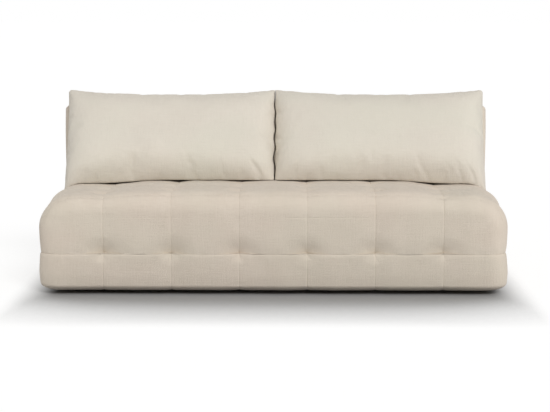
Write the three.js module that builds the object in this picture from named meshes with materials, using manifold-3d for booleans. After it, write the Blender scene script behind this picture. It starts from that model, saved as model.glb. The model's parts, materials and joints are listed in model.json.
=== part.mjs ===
// A click clack sofa bed with a bedding box, in millimetres, +Z up, with its front towards -Y.
// The tufted seat and the backrest turn as one about two ratchet hinges to open the bedding box,
// and the backrest clicks down flat behind the seat to make a bed. Two loose cushions lean on it.
import * as THREE from "three";
import { mergeVertices } from "three/addons/utils/BufferGeometryUtils.js";
import Module from "manifold-3d";

const wasm = await Module();
wasm.setup();

// Overall sizes
const sofaWidth = 2000;
const seatDepth = 750; // front crown to the seat's rear face
const seatHeight = 450; // crown of the seat above the floor
const sleepingHeight = 435; // mean height of the bed, where the flat backrest lies
const partingDrop = 257.5; // from the bed down to the top of the base, where the seat lifts off it
const baseHeight = 15; // underside of the base's upholstery
const coverTuck = 6; // the base's box above that underside
const clearance = 0.3; // between pieces that touch
const overrun = 20; // how far a cut runs past the piece

// Upholstery of seat and base
const edgeRadius = 100;
const shoulderRadius = 170; // round of the seat's upper edge at each side
const seatRearRadius = 30;
const baseUndercut = 35; // height of the base's rounded lower edge
const padding = 50; // from the frame to the crown, at the front and the sides
const seatRearPadding = 15;
const coverThickness = 50; // quilted cover over the seat's foam
const columnPitch = 289;
const rowPitch = 160;
const topSeamDepth = 130;
const seamDrop = 10;
const tuftDrop = 20;
const pillowFullnessShare = 2.5;
const pillowStepShares = [0.14, 0.5, 0.86];
const middleShare = 0.5;
const wholePillowShare = 0.7; // a stretch of seat this long has all its steps
const partPillowShare = 0.4; // and one this long has a step at its middle
const leastPillowShare = 0.25; // a seam keeps this much of a pillow from the rounded edge
const arcStepShare = Math.tan(Math.PI / 8); // half way round a quarter arc

// Base box
const panelThickness = 16;
const floorThickness = 10;
const liningThickness = 3;
const baseBehindPivot = 76;
const wallSetback = 2; // storage wall behind the seat's rear face
const deckSideGap = 28; // slot beside the deck for the hinge arms
const blockSize = 45;
const footRadius = 25;
const footTaper = 3;
const footSideInset = 90;
const footFrontInset = 110;
const footRearInset = 120;

// Seat frame
const railThickness = 22;
const seatRailHeight = 45;
const slatCount = 7;
const slatWidth = 70;
const slatThickness = 12;
const slatEndInset = 3;

// Backrest, with sizes taken from the hinge: front, rear, down and up
const backSideInset = 10; // how much narrower than the seat, at each side
const backFront = 100;
const backRear = 80;
const backDown = 100;
const backUp = 425;
const backCornerRadius = 50;
const backEdgeRadius = 24;
const backCrown = 8;
const backSkin = 15; // cover over the front foam
const backLining = 8; // cover behind, below and above the frame
const backFoam = 25;
const backBoard = 9;
const stileThickness = 18;
const sweepGap = 3.3; // seat to the backrest's turning corner
const restRecline = THREE.MathUtils.degToRad(12);
const bayHeight = 115; // mechanism bay above the hinge
const bayDepth = 58; // mechanism bay in front of the hinge
const bayWidth = 34;
const boltRecess = 8;

// Ratchet hinge
const armThickness = 4;
const sectorThickness = 5;
const washerGap = 2;
const boltRadius = 8;
const boltHeadRadius = 14;
const boltHeadHeight = 7;
const nutRadius = 13;
const nutHeight = 6;
const collarRadius = 12;
const plateHeadRadius = 20;
const plateFootWidth = 60;
const plateFootDrop = 17.5; // below the top of the base
const plateFootRise = 11; // above the box's floor
const armHeadRadius = 30;
const armRadius = 15;
const neckForward = 75;
const armAboveFrame = 27.2; // centre line of the arm above the seat frame's underside
const armReach = 474;
const seatScrewShares = [0.35, 0.6, 0.92]; // along the arm, from its neck
const backScrewShares = [0.5, 0.75, 0.95]; // along the arm, from the hinge
const tailBack = 50;
const tailDown = 12;
const tailRadius = 10;
const backArmRadius = 17;
const backArmLength = 250;
const screwRadius = 6;
const screwHeight = 3;

// Ratchet: a disc with a notch for each place where the backrest clicks in
const sectorRadius = 45;
const notchAngles = [0, 39, 78].map(THREE.MathUtils.degToRad); // sit, lounge and flat
const notchDepth = 7;
const notchPlay = 0.8;
const toothTipWidth = 5;
const toothRootWidth = 8;
const toothLength = 7.5;
const pawlLift = 0.5; // tooth clear of the disc when it is released
const pawlWidth = 10;
const pawlLength = 35; // pin to tooth
const pawlDrop = THREE.MathUtils.degToRad(10);
const pawlPinRadius = 5;
const pawlPinAngle = THREE.MathUtils.degToRad(240);
const pawlSidePlay = 0.2;

// Lift springs
const springRadius = 6;
const wireRadius = 1.3;
const springTurns = 14;
const springEnd = 10; // straight wire beyond the coil
const springSteps = 8; // per turn
const wireSides = 5;
const springPinRadius = 4;
const springPinLength = 8;
const springPinRise = 35; // above the box's floor

// Loose back cushions
const cushionWidth = 972;
const cushionGap = 4; // between the two cushions
const cushionFootForward = 326; // lower seam in front of the hinge
const cushionFootSink = 50; // and below the seat's crown, before the seat flattens it
const cushionTopForward = 57; // upper corners in front of the hinge
const cushionRise = 388; // and above the seat's crown
const cushionThickness = 258;
const cushionSeam = 6;
const cushionTopDip = 38; // upper edge between its corners
const cushionWaist = 5; // side edges between their corners
const cushionSagShare = 0.12;
const cushionFullnessShare = 0.55;
const cushionSidePower = 6; // how close to its side and upper seams the filling stays full
const cushionTopPower = 4;
const cushionColumns = 16;
const cushionRows = 10;

const fine = 12; // facets of half a large round
const coarse = 6; // facets of half a small round

// Places that follow from the sizes
const halfWidth = sofaWidth / 2;
const frameHalf = halfWidth - padding;
const backHalf = halfWidth - backSideInset;
const sweepCentre = Math.hypot(backFront - backCornerRadius, backDown - backCornerRadius);
const sweepRadius = sweepCentre + backCornerRadius;
const pivotDepth = seatDepth + sweepRadius + sweepGap;
const pivotHeight = sleepingHeight - backFront;
const baseRear = pivotDepth + baseBehindPivot;
const partingHeight = sleepingHeight - partingDrop;
const seatBottom = partingHeight + clearance;
const seatRailTop = seatBottom + seatRailHeight;
const coreTop = seatHeight - coverThickness;
const neckDown = pivotHeight - seatBottom - armAboveFrame;
const seatArmOuter = frameHalf - railThickness - clearance;
const seatArmInner = seatArmOuter - armThickness;
const plateOuter = seatArmInner - washerGap;
const plateInner = plateOuter - armThickness;
const backArmInner = seatArmOuter + washerGap;
const backArmOuter = backArmInner + sectorThickness;
const stileInner = backArmOuter + clearance;
const backFrameHalf = stileInner + stileThickness;
const bayInner = stileInner - bayWidth;
const panelInner = frameHalf - panelThickness;
const floorBottom = baseHeight + coverTuck;
const floorTop = floorBottom + floorThickness;
const plateFootTop = partingHeight - plateFootDrop;
const plateFootBottom = floorTop + plateFootRise;
const springPinHeight = floorTop + springPinRise;
const storageRear = seatDepth + wallSetback;
const armSpringX = (seatArmInner + seatArmOuter) / 2;
const pillowPitches = [columnPitch, rowPitch, rowPitch];

const finish = {
  fabric: new THREE.MeshStandardMaterial({ color: 0xd9d0c1, roughness: 0.95, metalness: 0 }),
  foam: new THREE.MeshStandardMaterial({ color: 0xe6dcb8, roughness: 0.9, metalness: 0 }),
  wood: new THREE.MeshStandardMaterial({ color: 0xb08d5f, roughness: 0.7, metalness: 0 }),
  board: new THREE.MeshStandardMaterial({ color: 0xc6a878, roughness: 0.75, metalness: 0 }),
  lining: new THREE.MeshStandardMaterial({ color: 0x3a3936, roughness: 0.95, metalness: 0 }),
  steel: new THREE.MeshStandardMaterial({ color: 0x2e3033, roughness: 0.45, metalness: 0.6 }),
  zinc: new THREE.MeshStandardMaterial({ color: 0xa9adb2, roughness: 0.35, metalness: 0.9 }),
  plastic: new THREE.MeshStandardMaterial({ color: 0x1d1d1e, roughness: 0.6, metalness: 0 }),
};

const sofa = new THREE.Group();
const seat = new THREE.Group();
const hinge = new THREE.Group();
const backrest = new THREE.Group();
sofa.add(seat, hinge, backrest);
hinge.position.set(0, pivotDepth, pivotHeight);
backrest.position.copy(hinge.position);
backrest.rotation.x = -restRecline;

// Solids and meshes
function toSolid(geometry) {
  const bare = geometry.clone();
  bare.deleteAttribute("normal");
  bare.deleteAttribute("uv");
  const merged = mergeVertices(bare, clearance / (fine * fine));
  return new wasm.Manifold(
    new wasm.Mesh({
      numProp: 3,
      vertProperties: merged.attributes.position.array,
      triVerts: new Uint32Array(merged.index.array),
    }),
  );
}

function toGeometry(solid) {
  const mesh = solid.getMesh();
  const geometry = new THREE.BufferGeometry();
  const positions = new Float32Array(mesh.vertProperties);
  geometry.setAttribute("position", new THREE.BufferAttribute(positions, 3));
  geometry.setIndex(new THREE.BufferAttribute(new Uint32Array(mesh.triVerts), 1));
  return geometry;
}

function join(...geometries) {
  return toGeometry(geometries.map(toSolid).reduce((whole, part) => whole.add(part)));
}

function cut(geometry, ...tools) {
  return toGeometry(tools.map(toSolid).reduce((whole, tool) => whole.subtract(tool), toSolid(geometry)));
}

function common(a, b) {
  return toGeometry(toSolid(a).intersect(toSolid(b)));
}

function place(parent, name, geometry, material) {
  const mesh = new THREE.Mesh(geometry, material.clone());
  mesh.name = name;
  parent.add(mesh);
  return mesh;
}

// A piece made for the right side (+X) and its mirror on the left
function placePair(parent, name, geometry, material) {
  place(parent, name + "_right", geometry, material);
  place(parent, name + "_left", geometry, material).scale.x = -1;
}

// Simple forms
function block(x0, x1, y0, y1, z0, z1) {
  const geometry = new THREE.BoxGeometry(x1 - x0, y1 - y0, z1 - z0);
  return geometry.translate((x0 + x1) / 2, (y0 + y1) / 2, (z0 + z1) / 2);
}

// An outline in depth and height, run from x0 to x1
function acrossWidth(outline, x0, x1, facets = coarse) {
  const geometry = new THREE.ExtrudeGeometry(outline, {
    depth: x1 - x0,
    bevelEnabled: false,
    curveSegments: facets,
  });
  const alongX = new THREE.Matrix4().makeBasis(
    new THREE.Vector3(0, 1, 0),
    new THREE.Vector3(0, 0, 1),
    new THREE.Vector3(1, 0, 0),
  );
  return geometry.applyMatrix4(alongX).translate(x0, 0, 0);
}

function discOutline(y, z, radius) {
  return new THREE.Shape().absarc(y, z, radius, 0, 2 * Math.PI);
}

// A bar with round ends between two points
function barOutline([y0, z0], [y1, z1], radius) {
  const angle = Math.atan2(z1 - z0, y1 - y0);
  const outline = new THREE.Shape();
  outline.absarc(y0, z0, radius, angle + Math.PI / 2, angle + (3 * Math.PI) / 2);
  outline.absarc(y1, z1, radius, angle - Math.PI / 2, angle + Math.PI / 2);
  return outline;
}

// A rectangle in depth and height with its front lower corner rounded
function roundedOutline(y0, y1, z0, z1, radius) {
  const outline = new THREE.Shape();
  outline.absarc(y0 + radius, z0 + radius, radius, Math.PI, (3 * Math.PI) / 2);
  outline.lineTo(y1, z0);
  outline.lineTo(y1, z1);
  outline.lineTo(y0, z1);
  return outline;
}

// Screw heads on a plate's inner face, at places in depth and height
function screwHeads(places, face) {
  const head = ([y, z]) =>
    acrossWidth(discOutline(y, z, screwRadius), face - screwHeight, face + clearance, coarse / 2);
  return places.map(head);
}

// Upholstered surfaces: a lattice over a box, moved to the rounded and tufted surface
function latticeSurface(lines, move) {
  const positions = [];
  const index = [];
  const known = new Map();
  const last = lines.map((line) => line.length - 1);
  const corner = (...at) => {
    const key = at.join(" ");
    if (!known.has(key)) {
      known.set(key, positions.length / 3);
      positions.push(...move(...at.map((step, axis) => lines[axis][step])));
    }
    return known.get(key);
  };
  for (let axis = 0; axis < 3; axis++) {
    const u = (axis + 1) % 3;
    const v = (axis + 2) % 3;
    for (const side of [0, last[axis]])
      for (let i = 0; i < last[u]; i++)
        for (let j = 0; j < last[v]; j++) {
          const at = (du, dv) => {
            const step = [];
            step[axis] = side;
            step[u] = i + du;
            step[v] = j + dv;
            return corner(...step);
          };
          const ring = [at(0, 0), at(1, 0), at(1, 1), at(0, 1)];
          if (side === 0) ring.reverse();
          const [a, b, c, d] = ring;
          if ((i + j) % 2) index.push(a, b, c, a, c, d);
          else index.push(b, c, d, b, d, a);
        }
  }
  const geometry = new THREE.BufferGeometry();
  geometry.setAttribute("position", new THREE.Float32BufferAttribute(positions, 3));
  geometry.setIndex(index);
  return geometry;
}

// Moves a point of a box's surface onto the box with rounded edges, and gives the outward direction there
function rounded(point, box, radii) {
  const inner = [];
  const outward = [];
  const reach = [];
  for (let axis = 0; axis < 3; axis++) {
    const low = box[axis][0] + radii[axis][0];
    const high = box[axis][1] - radii[axis][1];
    inner[axis] = Math.min(Math.max(point[axis], low), high);
    reach[axis] = point[axis] < low ? radii[axis][0] : radii[axis][1];
    outward[axis] = reach[axis] > 0 ? (point[axis] - inner[axis]) / reach[axis] : 0;
  }
  const length = Math.hypot(...outward) || 1;
  const direction = outward.map((part) => part / length);
  return { direction, surface: inner.map((part, axis) => part + direction[axis] * reach[axis]) };
}

// Pulls a point in to the wider round of the seat's upper edge at each side
function shouldered([x, y, z]) {
  const across = Math.abs(x) - halfWidth + shoulderRadius;
  const up = z - seatHeight + shoulderRadius;
  const reach = Math.hypot(across, up);
  if (across <= 0 || up <= 0 || reach <= shoulderRadius) return [x, y, z];
  const [inner, low] = [halfWidth - shoulderRadius, seatHeight - shoulderRadius];
  const share = shoulderRadius / reach;
  return [Math.sign(x) * (inner + across * share), y, low + up * share];
}

// How full a pillow is at a place, from 0 on a seam to 1 from its middle on
function fullness(at, seams, pitch) {
  const nearest = Math.min(...seams.map((seam) => Math.abs(at - seam)));
  return 1 - (1 - Math.min((2 * nearest) / pitch, 1)) ** pillowFullnessShare;
}

function tufted(point, box, radii, seams) {
  const full = point.map((at, axis) => fullness(at, seams[axis], pillowPitches[axis]));
  const [x, y, z] = full.map((part) => 1 - part);
  const crossing = Math.min(x * y + y * z + z * x, 1);
  const drop = seamDrop * (1 - full[0] * full[1] * full[2]) + tuftDrop * crossing ** 2;
  const { direction, surface } = rounded(point, box, radii);
  const plainRear = 1 - Math.max(direction[1], 0);
  return shouldered(surface).map((part, axis) => part - direction[axis] * drop * plainRear);
}

// Lattice lines between seams, closer together beside a seam, with the rounded ends in two steps
function latticeLines([low, high], [lowRadius, highRadius], seams, pitch) {
  const lines = [low, high];
  if (lowRadius) lines.push(low + lowRadius * (1 - arcStepShare), low + lowRadius);
  if (highRadius) lines.push(high - highRadius * (1 - arcStepShare), high - highRadius);
  const stops = [low + lowRadius, ...seams, high - highRadius].sort((a, b) => a - b);
  for (const [i, stop] of stops.entries()) {
    const span = i ? stop - stops[i - 1] : 0;
    const shares = span > wholePillowShare * pitch ? pillowStepShares : [middleShare];
    if (span > partPillowShare * pitch) for (const share of shares) lines.push(stop - span + share * span);
    lines.push(stop);
  }
  const inside = lines.filter((line) => line >= low && line <= high).sort((a, b) => a - b);
  return inside.filter((line, i) => !i || line - inside[i - 1] > clearance || line === high);
}

function columnSeams() {
  const seams = [];
  const last = halfWidth - edgeRadius - leastPillowShare * columnPitch;
  for (let x = columnPitch / 2; x < last; x += columnPitch) seams.push(-x, x);
  return seams;
}

function rowSeams(rear) {
  const seams = [];
  for (let y = topSeamDepth; y < rear - rowPitch / 2; y += rowPitch) seams.push(y);
  return seams;
}

function tuftedBox(box, radii, seams, shoulders = [[], [], []]) {
  const lines = box.map((span, axis) => {
    const across = latticeLines(span, radii[axis], seams[axis], pillowPitches[axis]);
    return [...across, ...shoulders[axis]].sort((a, b) => a - b);
  });
  return latticeSurface(lines, (...point) => tufted(point, box, radii, seams));
}

// Base: box panels, upholstered border, feet and the plates that carry the hinges
function basePanels() {
  const front = padding + clearance;
  const frontInner = front + panelThickness;
  const inner = panelInner - clearance;
  const rearInner = baseRear - panelThickness;
  place(
    sofa,
    "base_front_panel",
    block(-inner, inner, front, frontInner, floorBottom, partingHeight),
    finish.board,
  );
  place(
    sofa,
    "base_rear_panel",
    block(-inner, inner, rearInner, baseRear, floorBottom, partingHeight),
    finish.board,
  );
  placePair(
    sofa,
    "base_side_panel",
    block(panelInner, frameHalf, front, baseRear, floorBottom, partingHeight),
    finish.board,
  );
  place(
    sofa,
    "base_floor_panel",
    block(-inner, inner, frontInner + clearance, rearInner - clearance, floorBottom, floorTop),
    finish.board,
  );
  const wallTop = partingHeight - panelThickness - clearance;
  place(
    sofa,
    "storage_rear_wall",
    block(-inner, inner, storageRear, storageRear + panelThickness, floorTop + clearance, wallTop),
    finish.board,
  );
  const deckHalf = panelInner - deckSideGap;
  place(
    sofa,
    "base_rear_deck",
    block(
      -deckHalf,
      deckHalf,
      storageRear,
      rearInner - clearance,
      partingHeight - panelThickness,
      partingHeight,
    ),
    finish.board,
  );
  place(
    sofa,
    "storage_divider",
    block(
      -panelThickness / 2,
      panelThickness / 2,
      frontInner + clearance,
      storageRear - clearance,
      floorTop + clearance,
      partingHeight - clearance,
    ),
    finish.board,
  );
  cornerBlocks(frontInner + clearance, inner - clearance, floorTop + clearance, wallTop);
}

// Glued triangular blocks in the front corners of the storage box
function cornerBlocks(front, side, bottom, top) {
  const outline = new THREE.Shape();
  outline.moveTo(side, front);
  outline.lineTo(side, front + blockSize);
  outline.lineTo(side - blockSize, front);
  const wedge = new THREE.ExtrudeGeometry(outline, { depth: top - bottom, bevelEnabled: false });
  placePair(sofa, "front_corner_block", wedge.translate(0, 0, bottom), finish.wood);
}

function baseUpholstery() {
  const box = [
    [-halfWidth, halfWidth],
    [0, baseRear],
    [baseHeight, partingHeight],
  ];
  const radii = [
    [edgeRadius, edgeRadius],
    [edgeRadius, 0],
    [baseUndercut, 0],
  ];
  const border = cut(
    tuftedBox(box, radii, [columnSeams(), rowSeams(baseRear), [partingHeight]]),
    block(-frameHalf - clearance, frameHalf + clearance, padding, baseRear + overrun, -overrun, seatHeight),
  );
  const mitre = (grow) => {
    const outline = new THREE.Shape();
    outline.moveTo(-halfWidth - overrun - grow, -overrun);
    outline.lineTo(halfWidth + overrun + grow, -overrun);
    outline.lineTo(frameHalf + grow, padding);
    outline.lineTo(-frameHalf - grow, padding);
    return new THREE.ExtrudeGeometry(outline, { depth: seatHeight, bevelEnabled: false });
  };
  const rightHalf = block(0, sofaWidth, -overrun, baseRear + overrun, 0, seatHeight);
  place(sofa, "base_front_cover", common(border, mitre(0)), finish.fabric);
  placePair(sofa, "base_side_cover", common(cut(border, mitre(2 * clearance)), rightHalf), finish.fabric);
  const liningRear = baseRear + clearance + liningThickness;
  place(
    sofa,
    "base_rear_lining",
    block(-frameHalf, frameHalf, baseRear + clearance, liningRear, floorBottom, partingHeight),
    finish.lining,
  );
}

function feet() {
  const top = floorBottom - clearance;
  const profile = [
    new THREE.Vector2(0, 0),
    new THREE.Vector2(footRadius - footTaper, 0),
    new THREE.Vector2(footRadius, top),
    new THREE.Vector2(0, top),
  ];
  const foot = () => new THREE.LatheGeometry(profile, fine).rotateX(Math.PI / 2);
  const rows = [
    ["front", padding + footFrontInset],
    ["rear", baseRear - footRearInset],
  ];
  for (const [row, y] of rows) {
    placePair(sofa, row + "_foot", foot().translate(frameHalf - footSideInset, y, 0), finish.plastic);
    place(sofa, row + "_centre_foot", foot().translate(0, y, 0), finish.plastic);
  }
}

function hingePlates() {
  const foot = plateFootWidth / 2;
  const springPinDown = springPinHeight - pivotHeight;
  const top = plateFootTop - pivotHeight;
  const bottom = plateFootBottom - pivotHeight;
  const screws = [
    [-foot / 2, top - armRadius],
    [foot / 2, top - armRadius],
    [-foot / 2, bottom + armRadius],
    [foot / 2, bottom + armRadius],
  ];
  const plate = cut(
    join(
      acrossWidth(barOutline([0, 0], [0, top], plateHeadRadius), plateInner, plateOuter),
      block(plateInner, plateOuter, -foot, foot, bottom, top),
      acrossWidth(
        barOutline([0, springPinDown], [tailBack, springPinDown], tailRadius),
        plateInner,
        plateOuter,
      ),
      acrossWidth(
        discOutline(tailBack, springPinDown, springPinRadius),
        plateInner,
        plateOuter + springPinLength,
      ),
      ...screwHeads(screws, plateInner),
    ),
    acrossWidth(discOutline(0, 0, boltRadius + clearance), plateInner - overrun, plateOuter + overrun),
  );
  placePair(hinge, "hinge_plate", plate, finish.steel);
  placePair(
    hinge,
    "hinge_batten",
    block(
      plateOuter + clearance,
      panelInner - clearance,
      -foot - screwRadius,
      foot + screwRadius,
      floorTop + clearance - pivotHeight,
      top,
    ),
    finish.wood,
  );
}

// Seat: timber frame, slats, foam and the quilted cover
function seatFrame() {
  const front = padding + clearance;
  const rear = seatDepth - seatRearPadding - clearance;
  const inner = frameHalf - railThickness - clearance;
  placePair(
    seat,
    "seat_side_rail",
    block(inner + clearance, frameHalf, front, rear, seatBottom, seatRailTop),
    finish.wood,
  );
  place(
    seat,
    "seat_front_rail",
    block(-inner, inner, front, front + railThickness, seatBottom, seatRailTop),
    finish.wood,
  );
  const rearHalf = seatArmInner - clearance;
  place(
    seat,
    "seat_rear_rail",
    block(-rearHalf, rearHalf, rear - railThickness, rear, seatBottom, seatRailTop),
    finish.wood,
  );
  place(
    seat,
    "seat_centre_rail",
    block(
      -railThickness / 2,
      railThickness / 2,
      front + railThickness + clearance,
      rear - railThickness - clearance,
      seatBottom,
      seatRailTop,
    ),
    finish.wood,
  );
  const slatBottom = seatRailTop + clearance;
  const slatSpacing = (2 * frameHalf) / slatCount;
  for (let i = 0; i < slatCount; i++) {
    const x = (i - (slatCount - 1) / 2) * slatSpacing;
    place(
      seat,
      "seat_slat_" + (i + 1),
      block(
        x - slatWidth / 2,
        x + slatWidth / 2,
        front + slatEndInset,
        rear - slatEndInset,
        slatBottom,
        slatBottom + slatThickness,
      ),
      finish.wood,
    );
  }
}

function seatUpholstery() {
  const box = [
    [-halfWidth, halfWidth],
    [0, seatDepth + clearance],
    [seatBottom, seatHeight],
  ];
  const radii = [
    [edgeRadius, edgeRadius],
    [edgeRadius, seatRearRadius],
    [0, edgeRadius],
  ];
  const seams = [columnSeams(), rowSeams(seatDepth), [seatBottom]];
  const rear = seatDepth - seatRearPadding;
  const inner = halfWidth - shoulderRadius;
  const shoulders = [[-inner, inner], [], [seatHeight - shoulderRadius]];
  const foamRadius = shoulderRadius - coverThickness;
  const core = (grow, bottom) => {
    const half = frameHalf + grow;
    const radius = foamRadius + grow;
    const span = [padding + clearance - grow, rear - clearance + grow];
    const size = [[-half, half], span, [bottom, coreTop - clearance + grow]];
    return tuftedBox(size, [[radius, radius], [0, 0], [0, radius]], [[], [], []]);
  };
  const armSlot = (side) =>
    block(
      side * armSpringX - armRadius,
      side * armSpringX + armRadius,
      rear - overrun,
      seatDepth + overrun,
      seatBottom - overrun,
      seatRailTop,
    );
  const flatRear = block(-sofaWidth, sofaWidth, seatDepth, seatDepth + overrun, 0, sofaWidth);
  const whole = tuftedBox(box, radii, seams, shoulders);
  const cover = cut(whole, flatRear, core(clearance, 0), armSlot(1), armSlot(-1));
  place(seat, "seat_cover", cover, finish.fabric);
  const coreBottom = seatRailTop + slatThickness + 2 * clearance;
  place(seat, "seat_foam", core(0, coreBottom), finish.foam);
}

function seatArms() {
  const knee = [-neckForward, -neckDown];
  const screws = seatScrewShares.map((share) => [-neckForward - share * (armReach - neckForward), -neckDown]);
  const [pinY, pinZ] = pawlPin();
  const arm = cut(
    join(
      acrossWidth(discOutline(0, 0, armHeadRadius), seatArmInner, seatArmOuter, fine),
      acrossWidth(barOutline([0, 0], knee, armRadius), seatArmInner, seatArmOuter),
      acrossWidth(barOutline(knee, [-armReach, -neckDown], armRadius), seatArmInner, seatArmOuter),
      acrossWidth(barOutline([0, 0], [tailBack, -tailDown], tailRadius), seatArmInner, seatArmOuter),
      acrossWidth(discOutline(pinY, pinZ, pawlPinRadius), seatArmInner, backArmOuter - pawlSidePlay),
      ...screwHeads(screws, seatArmInner),
    ),
    acrossWidth(discOutline(0, 0, boltRadius + clearance), seatArmInner - overrun, seatArmOuter + overrun),
  );
  placePair(hinge, "seat_arm", arm, finish.steel);
}

// The pivot bolt, turned about the hinge line, with a collar between each two plates
function pivotBolts() {
  const stations = [
    [0, plateInner - clearance - boltHeadHeight],
    [boltHeadRadius, plateInner - clearance - boltHeadHeight],
    [boltHeadRadius, plateInner - clearance],
    [boltRadius, plateInner - clearance],
    [boltRadius, plateOuter + clearance],
    [collarRadius, plateOuter + clearance],
    [collarRadius, seatArmInner - clearance],
    [boltRadius, seatArmInner - clearance],
    [boltRadius, seatArmOuter + clearance],
    [collarRadius, seatArmOuter + clearance],
    [collarRadius, backArmInner - clearance],
    [boltRadius, backArmInner - clearance],
    [boltRadius, backArmOuter + clearance],
    [nutRadius, backArmOuter + clearance],
    [nutRadius, backArmOuter + clearance + nutHeight],
    [0, backArmOuter + clearance + nutHeight],
  ];
  const profile = stations.map(([radius, x]) => new THREE.Vector2(radius, x));
  const bolt = new THREE.LatheGeometry(profile, 2 * coarse).rotateZ(-Math.PI / 2);
  placePair(hinge, "pivot_bolt", bolt, finish.zinc);
}

// Ratchet pawl, drawn with its tooth on the line from the hinge through the notch
function pawlOffset() {
  return sectorRadius + pawlLift + toothLength + pawlWidth / 2;
}

function pawlPin() {
  const reach = Math.hypot(pawlOffset(), pawlLength);
  return [reach * Math.cos(pawlPinAngle), reach * Math.sin(pawlPinAngle)];
}

function toothAngle() {
  return pawlPinAngle + Math.atan2(pawlLength, pawlOffset());
}

// Turns a point given outward from the hinge and along the disc's rim into depth and height
function atTooth(outward, along, turn = 0) {
  const angle = toothAngle() + turn;
  return [
    outward * Math.cos(angle) + along * Math.sin(angle),
    outward * Math.sin(angle) - along * Math.cos(angle),
  ];
}

function outlineThrough(points) {
  return new THREE.Shape(points.map(([y, z]) => new THREE.Vector2(y, z)));
}

function pawls() {
  const tip = pawlOffset() - pawlWidth / 2 - toothLength;
  const root = pawlOffset() - pawlWidth / 2 + clearance;
  const tooth = outlineThrough([
    atTooth(root, toothRootWidth / 2),
    atTooth(tip, toothTipWidth / 2),
    atTooth(tip, -toothTipWidth / 2),
    atTooth(root, -toothRootWidth / 2),
  ]);
  const inner = backArmInner + pawlSidePlay;
  const outer = backArmOuter - pawlSidePlay;
  const pin = pawlPin();
  const pawl = cut(
    join(
      acrossWidth(barOutline(atTooth(pawlOffset(), 0), pin, pawlWidth / 2), inner, outer),
      acrossWidth(discOutline(...pin, pawlPinRadius + pawlWidth / 2), inner, outer),
      acrossWidth(tooth, inner, outer),
    ),
    acrossWidth(discOutline(...pin, pawlPinRadius + clearance), inner - overrun, outer + overrun),
  );
  placePair(hinge, "ratchet_pawl", pawl, finish.zinc);
}

// Where a point of the lifted pawl lies once the pawl has dropped, outward from the hinge and along the rim
function dropped(outward, along) {
  const [sin, cos] = [Math.sin(pawlDrop), Math.cos(pawlDrop)];
  const [fromPin, alongPin] = [outward - pawlOffset(), along - pawlLength];
  return [pawlOffset() + fromPin * cos + alongPin * sin, pawlLength + alongPin * cos - fromPin * sin];
}

// A notch with room for the tooth where it lies when dropped, and for its way there
function notchOutline(turn) {
  const bottom = sectorRadius - notchDepth;
  const outer = sectorRadius + overrun;
  const [, tipAlong] = dropped(sectorRadius + pawlLift, 0);
  const [, rootAlong] = dropped(sectorRadius + pawlLift + toothLength, 0);
  const tipHalf = toothTipWidth / 2 + notchPlay;
  const low = [tipAlong - tipHalf, -tipHalf];
  const high = [tipAlong + tipHalf, rootAlong + toothRootWidth / 2 + notchPlay];
  const runOut = ([atBottom, atRim]) => atBottom + ((atRim - atBottom) * (outer - bottom)) / notchDepth;
  return outlineThrough([
    atTooth(bottom, high[0], turn),
    atTooth(bottom, low[0], turn),
    atTooth(outer, runOut(low), turn),
    atTooth(outer, runOut(high), turn),
  ]);
}

// The notched disc and arm that carry the backrest, drawn about the hinge in the backrest's own directions
function backArms() {
  const notch = (angle) =>
    acrossWidth(notchOutline(angle + restRecline), backArmInner - overrun, backArmOuter + overrun);
  const screws = backScrewShares.map((share) => [0, share * backArmLength]);
  const arm = cut(
    join(
      acrossWidth(discOutline(0, 0, sectorRadius), backArmInner, backArmOuter, fine),
      acrossWidth(barOutline([0, 0], [0, backArmLength], backArmRadius), backArmInner, backArmOuter),
      ...screwHeads(screws, backArmInner),
    ),
    acrossWidth(discOutline(0, 0, boltRadius + clearance), backArmInner - overrun, backArmOuter + overrun),
    ...notchAngles.map(notch),
  );
  placePair(backrest, "back_arm", arm, finish.steel);
}

// Backrest: timber frame, board, foam and a plain cover
function backFrame() {
  const rear = backRear - backLining - clearance;
  const front = -backFront + backSkin + backFoam + backBoard + 3 * clearance;
  const bottom = -backDown + backLining + clearance;
  const top = backUp - backLining - clearance;
  const recess = acrossWidth(
    discOutline(0, 0, collarRadius + armThickness),
    stileInner - clearance,
    stileInner + boltRecess,
    fine,
  );
  placePair(
    backrest,
    "back_outer_stile",
    cut(block(stileInner, backFrameHalf, front, rear, bottom, top), recess),
    finish.wood,
  );
  const innerStile = bayInner - clearance;
  const topRailBottom = top - railThickness;
  placePair(
    backrest,
    "back_inner_stile",
    block(innerStile - stileThickness, innerStile, front, rear, bottom, topRailBottom - clearance),
    finish.wood,
  );
  const bottomRailHalf = innerStile - stileThickness - clearance;
  place(
    backrest,
    "back_bottom_rail",
    block(-bottomRailHalf, bottomRailHalf, front, rear, bottom, bottom + railThickness),
    finish.wood,
  );
  const topRailHalf = stileInner - clearance;
  place(
    backrest,
    "back_top_rail",
    block(-topRailHalf, topRailHalf, front, rear, topRailBottom, top),
    finish.wood,
  );
  place(
    backrest,
    "back_board",
    block(
      -innerStile,
      innerStile,
      front - clearance - backBoard,
      front - clearance,
      bottom + railThickness / 2,
      top,
    ),
    finish.board,
  );
}

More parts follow.
